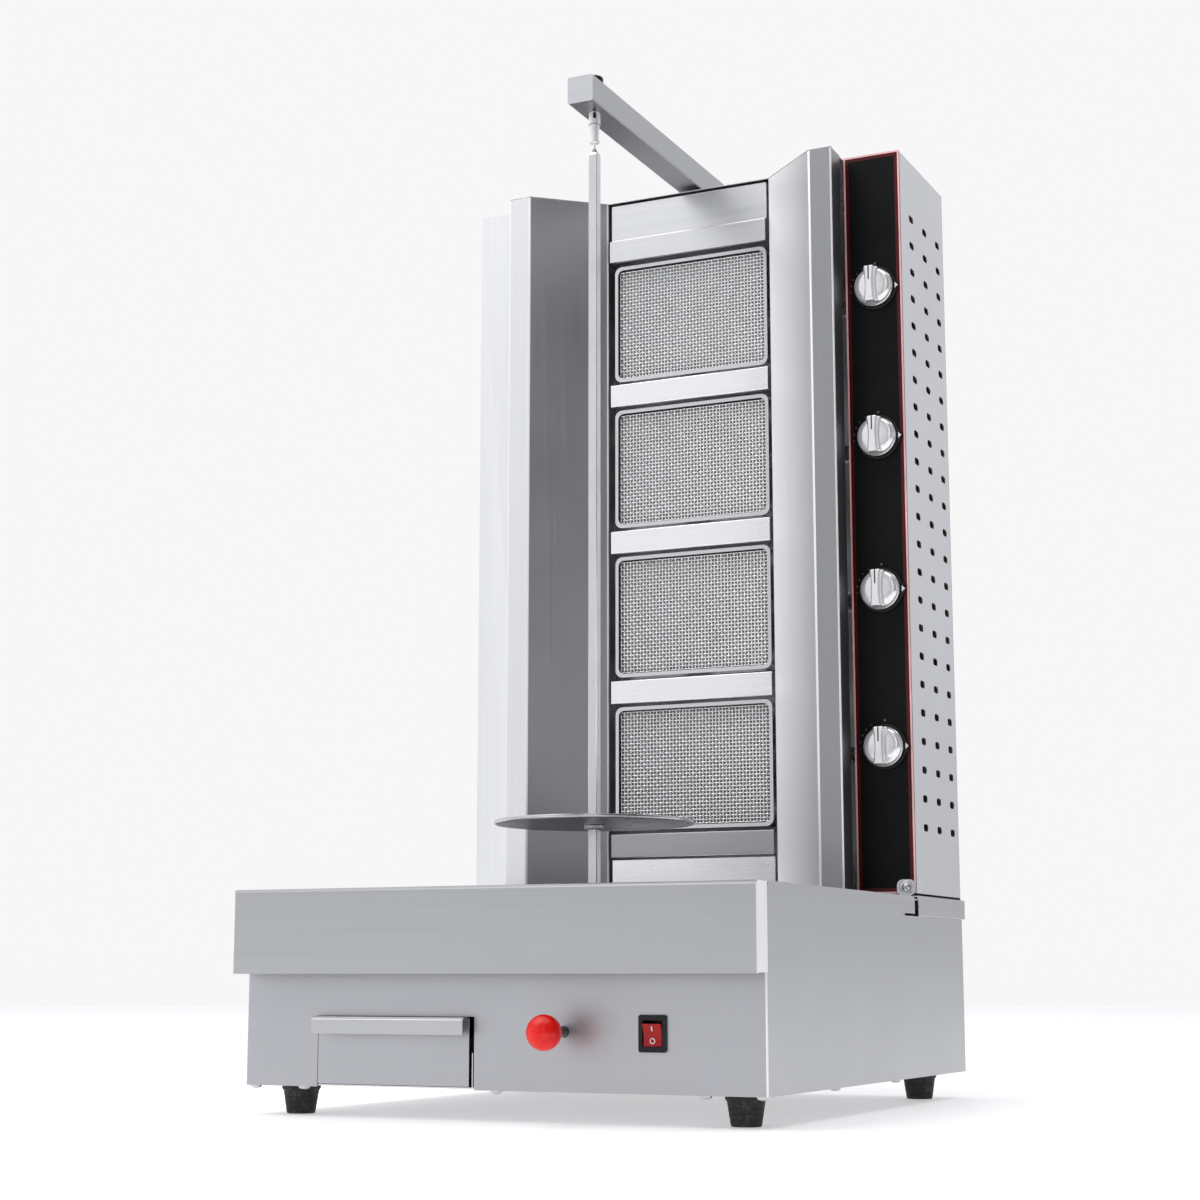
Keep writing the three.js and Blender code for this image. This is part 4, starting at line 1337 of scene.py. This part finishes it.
@dataclass
class Controls:
    """The black gas panel with its red line, bezels, knobs and marks."""

    finishes: Finishes
    edge: float = 2.0
    line: float = 4.0

    def build(self) -> None:
        """Builds the panel and its four controls."""
        f = self.finishes
        sheet_metal("control_panel", "gas_panel", fold=0.0, rim=0.6).finish(
            "base", "black_panel", [f.panel], ["control_panel"])
        # The pale outer line is a painted highlight on the panel's edge; the red band inside it is print.
        self.border("panel_edge_painted_highlight", 0.0, self.edge, f.edge_painted_highlight)
        self.border("panel_red_band", self.edge, self.line, f.band)
        marks = Piece("panel_marks")
        for k in range(1, 5):
            self.bezel(k)
            self.knob(k)
            self.marks(marks, k)
        marks.finish("base", "black_panel", [f.mark])

    def border(self, name: str, inset: float, wide: float, paint: Material) -> None:
        """Builds one line that runs round the panel: the printed red band, or the pale painted highlight along its
        edge.

        Args:
            name: Name of the piece.
            inset: Distance from the panel's edge.
            wide: Width of the line.
            paint: Its finish.
        """
        low, high = span("control_panel")
        lift = 0.1 if inset else 0.16
        y = (low.y - lift, low.y + 0.3)
        x0, x1, z0, z1 = low.x + inset, high.x - inset, low.z + inset, high.z - inset
        piece = Piece(name)
        piece.box((x0, x0 + wide), y, (z0, z1)).box((x1 - wide, x1), y, (z0, z1))
        piece.box((x0 + wide, x1 - wide), y, (z0, z0 + wide)).box((x0 + wide, x1 - wide), y, (z1 - wide, z1))
        piece.finish("base", "black_panel", [paint])

    def bezel(self, k: int) -> None:
        """Builds a black bezel ring with its pointer nub, whose pale tip is a painted glint.

        Args:
            k: Number of the control, from the top.
        """
        node = f"knob_bezel_{k}"
        low, high = span(node)
        z = (low.z + high.z) / 2
        r = (high.z - low.z) / 2
        x = low.x + r
        outline: list[Point2] = []
        for a in range(0, 360, 5):
            angle = math.radians(a)
            near = max(0.0, 1.0 - abs((a + 180) % 360 - 180) / 24.0)
            reach = r + (high.x - x - r) * near ** 1.3
            outline.append((x + reach * math.cos(angle), z + reach * math.sin(angle)))
        piece = Piece(f"bezel_{k}").prism(Axis.Y, outline, low.y, high.y)
        piece.round_edges(1.0, 3, 60.0)
        piece.finish("base", "black_plastic", [self.finishes.black], [node], 35.0)
        # A pale triangle on the pointer's tip: a painted glint.
        tip = Piece(f"bezel_tip_painted_glint_{k}")
        tip.prism(Axis.Y, [(x + r - 1.2, z - 3.4), (high.x - 0.6, z), (x + r - 1.2, z + 3.4)],
                  low.y - 0.15, low.y + 0.4)
        tip.finish("base", "black_panel", [self.finishes.tip_painted_glint])

    def knob(self, k: int) -> None:
        """Builds a die-cast chrome knob with its skirt, grip wing and index line.

        Args:
            k: Number of the control, from the top.
        """
        node = f"knob_{k}"
        low, high = span(node)
        c = middle(node)
        r = (high.x - low.x) / 2
        front, back = low.y, 154.0
        profile: list[Point2] = [
            (0.0, back), (r - 1.0, back), (r - 0.2, back - 0.4), (r, back - 1.2), (r - 0.1, back - 2.6),
            (r - 0.7, back - 3.4), (r - 0.8, back - 6.5), (r - 1.3, back - 8.2), (r - 2.6, back - 9.6),
            (r - 4.6, back - 10.6), (r - 8.0, back - 11.3), (0.0, back - 11.8)]
        piece = Piece(f"gas_knob_{k}").turned(Axis.Y, profile, (c.x, c.z), 96)
        half = r - 1.4
        grip: list[Point2] = []
        for s in range(13):
            t = -1.0 + s / 6.0
            grip.append((c.x + 4.3 + 1.5 * t * t, c.z + half * t * 0.985))
        wing = grip + [(2 * c.x - u, v) for u, v in reversed(grip)]
        blade = Piece("blade").prism(Axis.Y, wing, front, back - 7.0)
        blade.round_edges(1.5, 3, 50.0)
        base = Piece("saddle").prism(Axis.Y, [(c.x + (u - c.x) * 1.5, v) for u, v in wing], front + 5.5, back - 7.0)
        base.round_edges(2.0, 3, 50.0)
        piece.join(blade).join(base)
        stem = Piece("stem").turned(Axis.Y, [(0.0, back - 1.0), (4.0, back - 1.0), (4.0, high.y - 0.5),
                                             (3.5, high.y), (0.0, high.y)], (c.x, c.z), 32)
        piece.join(stem)
        piece.finish(f"knob_{k}", "chrome", [self.finishes.chrome], [node], 32.0)
        line = Piece(f"knob_index_{k}").box((c.x - 0.7, c.x + 0.7), (front - 0.1, front + 0.5),
                                            (c.z + 4.0, c.z + half - 1.0))
        line.finish(f"knob_{k}", "black_plastic", [self.finishes.black])

    def marks(self, piece: Piece, k: int) -> None:
        """Adds an off dot and a rising flame scale above a knob.

        Args:
            piece: The piece they are added to.
            k: Number of the control, from the top.
        """
        low, _ = span("control_panel")
        c = middle(f"knob_{k}")
        y = (low.y - 0.1, low.y + 0.3)
        for a, size in ((90, 1.3), (122, 0.6), (137, 0.8), (152, 1.0), (167, 1.25), (182, 1.5)):
            angle = math.radians(a)
            x, z = c.x + 29.5 * math.cos(angle), c.z + 29.5 * math.sin(angle)
            piece.prism(Axis.Y, polygon((x, z), size, 12), y[0], y[1])


@dataclass
class GasTrain:
    """The brass valve rail and the threaded inlet."""

    finishes: Finishes
    thread: float = 1.8

    def build(self) -> None:
        """Builds the rail and the inlet."""
        copied("gas_rail", "valve_rail").round_edges(0.8, 2, 40.0).finish(
            "base", "brass", [self.finishes.brass], ["gas_rail"])
        low, high = span("gas_inlet")
        c = middle("gas_inlet")
        piece = Piece("gas_thread")
        for y0, y1, r in ((306.0, 318.0, 14.0), (326.0, 335.0, 15.0)):
            piece.prism(Axis.Y, polygon((c.x, c.z), r, 6, 30.0), y0, y1)
        piece.round_edges(0.7, 2)
        piece.turned(Axis.Y, [(0.0, low.y), (9.6, low.y), (10.0, low.y + 0.5), (10.0, 336.0), (0.0, 336.0)],
                     (c.x, c.z), 48)
        profile: list[Point2] = [(5.0, 322.0), (7.2, 334.5)]
        y = 335.2
        while y < high.y - 1.4:
            profile += [(7.2, y), (7.95, y + self.thread * 0.5)]
            y += self.thread
        profile += [(7.1, high.y - 0.5), (6.4, high.y), (5.2, high.y), (5.0, high.y - 0.3), (5.0, 322.0)]
        piece.turned(Axis.Y, profile, (c.x, c.z), 48)
        piece.finish("base", "brass", [self.finishes.brass], ["gas_inlet"], 30.0)


@dataclass
class Switch:
    """The rocker switch of the spit motor."""

    finishes: Finishes
    tilt: float = 8.0

    def build(self) -> None:
        """Builds the bezel and the rocker with its two marks."""
        copied("switch_bezel", "switch_frame").round_edges(0.7, 3, 40.0).finish(
            "base", "black_plastic", [self.finishes.black], ["switch_bezel"])
        face = span("cabinet_shell")[0].y
        c = middle("switch_bezel")
        pivot = Vector((c.x, face + 6.0, c.z)) * MM
        turn = (Matrix.Translation(pivot) @ Matrix.Rotation(math.radians(self.tilt), 4, "X")
                @ Matrix.Translation(-pivot))
        outline: list[Point2] = []
        for s in range(17):
            t = -1.0 + s / 8.0
            outline.append((face - 1.6 - 1.8 * abs(t) ** 1.7, c.z + 10.3 * t))
        outline += [(face + 4.8, c.z + 8.4), (face + 8.6, c.z), (face + 4.8, c.z - 8.4)]
        rocker = Piece("rocker_cap").prism(Axis.X, outline, c.x - 9.1, c.x + 9.1)
        rocker.round_edges(0.8, 3, 50.0)
        rocker.mesh.transform(turn)
        rocker.finish("rocker", "red_rocker", [self.finishes.rocker], ["switch_rocker"], 30.0)
        marks = Piece("rocker_marks")
        for z in (3.4, 4.9, 6.4):
            marks.box((c.x - 0.6, c.x + 0.6), (-0.2, 0.6), (c.z + z, c.z + z + 1.5))
        ring = [(2.7, 0.6), (2.7, -0.2), (1.8, -0.2), (1.8, 0.6), (2.7, 0.6)]
        marks.turned(Axis.Y, ring, (c.x, c.z - 5.4), 32)
        for vertex in marks.mesh.verts:
            t = (vertex.co.z / MM - c.z) / 10.3
            vertex.co.y += (face - 1.6 - 1.8 * abs(t) ** 1.7) * MM
        marks.mesh.transform(turn)
        marks.finish("rocker", "red_rocker", [self.finishes.ink])


@dataclass
class Studio:
    """The pale floor, soft lights, pale surround and the camera."""

    spot: Point3 = (985.2, -2133.7, 130.7)
    yaw: float = 25.47
    pitch: float = 9.72
    lens: float = 66.18
    floor_radius: float = 9000.0
    backdrop: Point3 = (0.93, 0.93, 0.935)
    around: tuple[Point2, ...] = ((-3.14, 1.0), (-2.1, 1.0), (-1.9, 0.85), (-1.6, 0.4), (-1.4, 0.3), (-1.25, 1.0),
                                  (-1.1, 1.0), (-0.95, 0.14), (-0.1, 0.1), (0.5, 0.6), (1.0, 0.85), (1.8, 0.9),
                                  (3.14, 1.0))
    upward: tuple[Point2, ...] = ((-1.0, 0.5), (-0.05, 0.6), (0.02, 0.72), (0.14, 0.96), (0.35, 1.0), (1.0, 0.9))
    paper: Point3 = (0.985, 0.99, 1.02)

    def build(self) -> None:
        """Builds the whole studio."""
        self.floor()
        self.surround()
        self.lights()
        self.camera()

    def floor(self) -> None:
        """Builds the round floor."""
        piece = Piece("studio_floor").turned(
            Axis.Z, [(0.0, -6.0), (self.floor_radius, -6.0), (self.floor_radius, -0.2), (0.0, -0.2)],
            (0.0, 0.0), 96)
        data = bpy.data.meshes.new("studio_floor")
        piece.mesh.to_mesh(data)
        data.materials.append(StudioFloor().material())
        linked("studio_floor", data)

    def surround(self) -> None:
        """Builds the studio walls as a world: pale, brighter upward, dim to the right."""
        world = bpy.data.worlds.new("studio_surround")
        bpy.context.scene.world = world
        world.use_nodes = True
        tree = world.node_tree
        split = tree.nodes.new("ShaderNodeSeparateXYZ")
        tree.links.new(add_node(tree, "TexCoord", "Generated", {}), split.inputs["Vector"])
        turn = add_node(tree, "Math", "Value", {0: split.outputs["Y"], 1: split.outputs["X"]}, operation="ARCTAN2")
        round_ramp = self.ramp(tree, turn, (-math.pi, math.pi), self.around)
        rise_ramp = self.ramp(tree, split.outputs["Z"], (-1.0, 1.0), self.upward)
        product = add_node(tree, "Math", "Value", {0: round_ramp, 1: rise_ramp}, operation="MULTIPLY")
        tone = add_node(tree, "Mix", "Result", {"A": (0.0, 0.0, 0.0, 1.0), "B": (*self.paper, 1.0),
                                                "Factor": product}, data_type="RGBA", clamp_factor=False)
        seen = add_node(tree, "Mix", "Result", {
            "A": tone, "B": (*self.backdrop, 1.0),
            "Factor": add_node(tree, "LightPath", "Is Camera Ray", {})}, data_type="RGBA")
        tree.links.new(seen, tree.nodes["Background"].inputs["Color"])

    @staticmethod
    def ramp(tree: bpy.types.NodeTree, source: Socket, reach: Point2,
             stops: Sequence[Point2]) -> Socket:
        """A grey ramp over a socket.

        Args:
            tree: Node tree it goes in.
            source: The socket it reads.
            reach: Values of the socket at the ramp's two ends.
            stops: Pairs of socket value and brightness.

        Returns:
            The ramp's output.
        """
        fit = add_node(tree, "MapRange", "Result", {"From Min": reach[0], "From Max": reach[1], "Value": source})
        node = tree.nodes.new("ShaderNodeValToRGB")
        ramp = node.color_ramp
        ramp.interpolation = "EASE"
        while len(ramp.elements) < len(stops):
            ramp.elements.new(0.5)
        for element, (at, grey) in zip(ramp.elements, stops):
            element.position = (at - reach[0]) / (reach[1] - reach[0])
            element.color = (grey, grey, grey, 1.0)
        tree.links.new(fit, node.inputs["Fac"])
        return node.outputs["Color"]

    def lamp(self, name: str, place: Point3, target: Point3, size: Point2, power: float) -> None:
        """Adds one soft box.

        Args:
            name: Name of the light.
            place: Where it stands, in metres.
            target: Where it points, in metres.
            size: Width and height in metres.
            power: Power in watts.
        """
        data = bpy.data.lights.new(name, "AREA")
        data.shape = "RECTANGLE"
        data.size, data.size_y = size
        data.energy = power
        thing = linked(name, data)
        aim = Vector(target) - Vector(place)
        thing.matrix_world = Matrix.Translation(place) @ aim.to_track_quat("-Z", "Y").to_matrix().to_4x4()

    def lights(self) -> None:
        """Sets the soft boxes."""
        self.lamp("key_box", (-1.8, -1.6, 4.4), (0.0, 0.0, 0.2), (3.2, 3.2), 60.0)
        self.lamp("top_box", (0.6, -0.2, 4.6), (0.0, 0.0, 0.2), (4.0, 4.0), 70.0)

    def camera(self) -> None:
        """Sets the camera."""
        data = bpy.data.cameras.new("view")
        data.sensor_width = 36.0
        data.lens = self.lens
        data.clip_end = 100.0
        thing = linked("view", data)
        yaw, pitch = math.radians(self.yaw), math.radians(self.pitch)
        look = Vector((-math.sin(yaw) * math.cos(pitch), math.cos(yaw) * math.cos(pitch), math.sin(pitch)))
        thing.matrix_world = (Matrix.Translation(Vector(self.spot) * MM)
                              @ look.to_track_quat("-Z", "Y").to_matrix().to_4x4())
        bpy.context.scene.camera = thing
        bpy.context.scene.view_settings.view_transform = "Standard"


def main() -> None:
    """Builds the oven and its studio."""
    logging.basicConfig(level=logging.INFO, format="%(name)s: %(message)s")
    finishes = Finishes()
    assemblies = (Studio(), Cabinet(finishes), DripParts(finishes), SpitDrive(finishes), Spit(finishes),
                  TopArm(finishes), Tower(finishes), Burners(finishes), Controls(finishes), GasTrain(finishes),
                  Switch(finishes))
    for assembly in assemblies:
        assembly.build()
        LOG.info("finished %s", type(assembly).__name__)


if __name__ == "__main__":
    main()
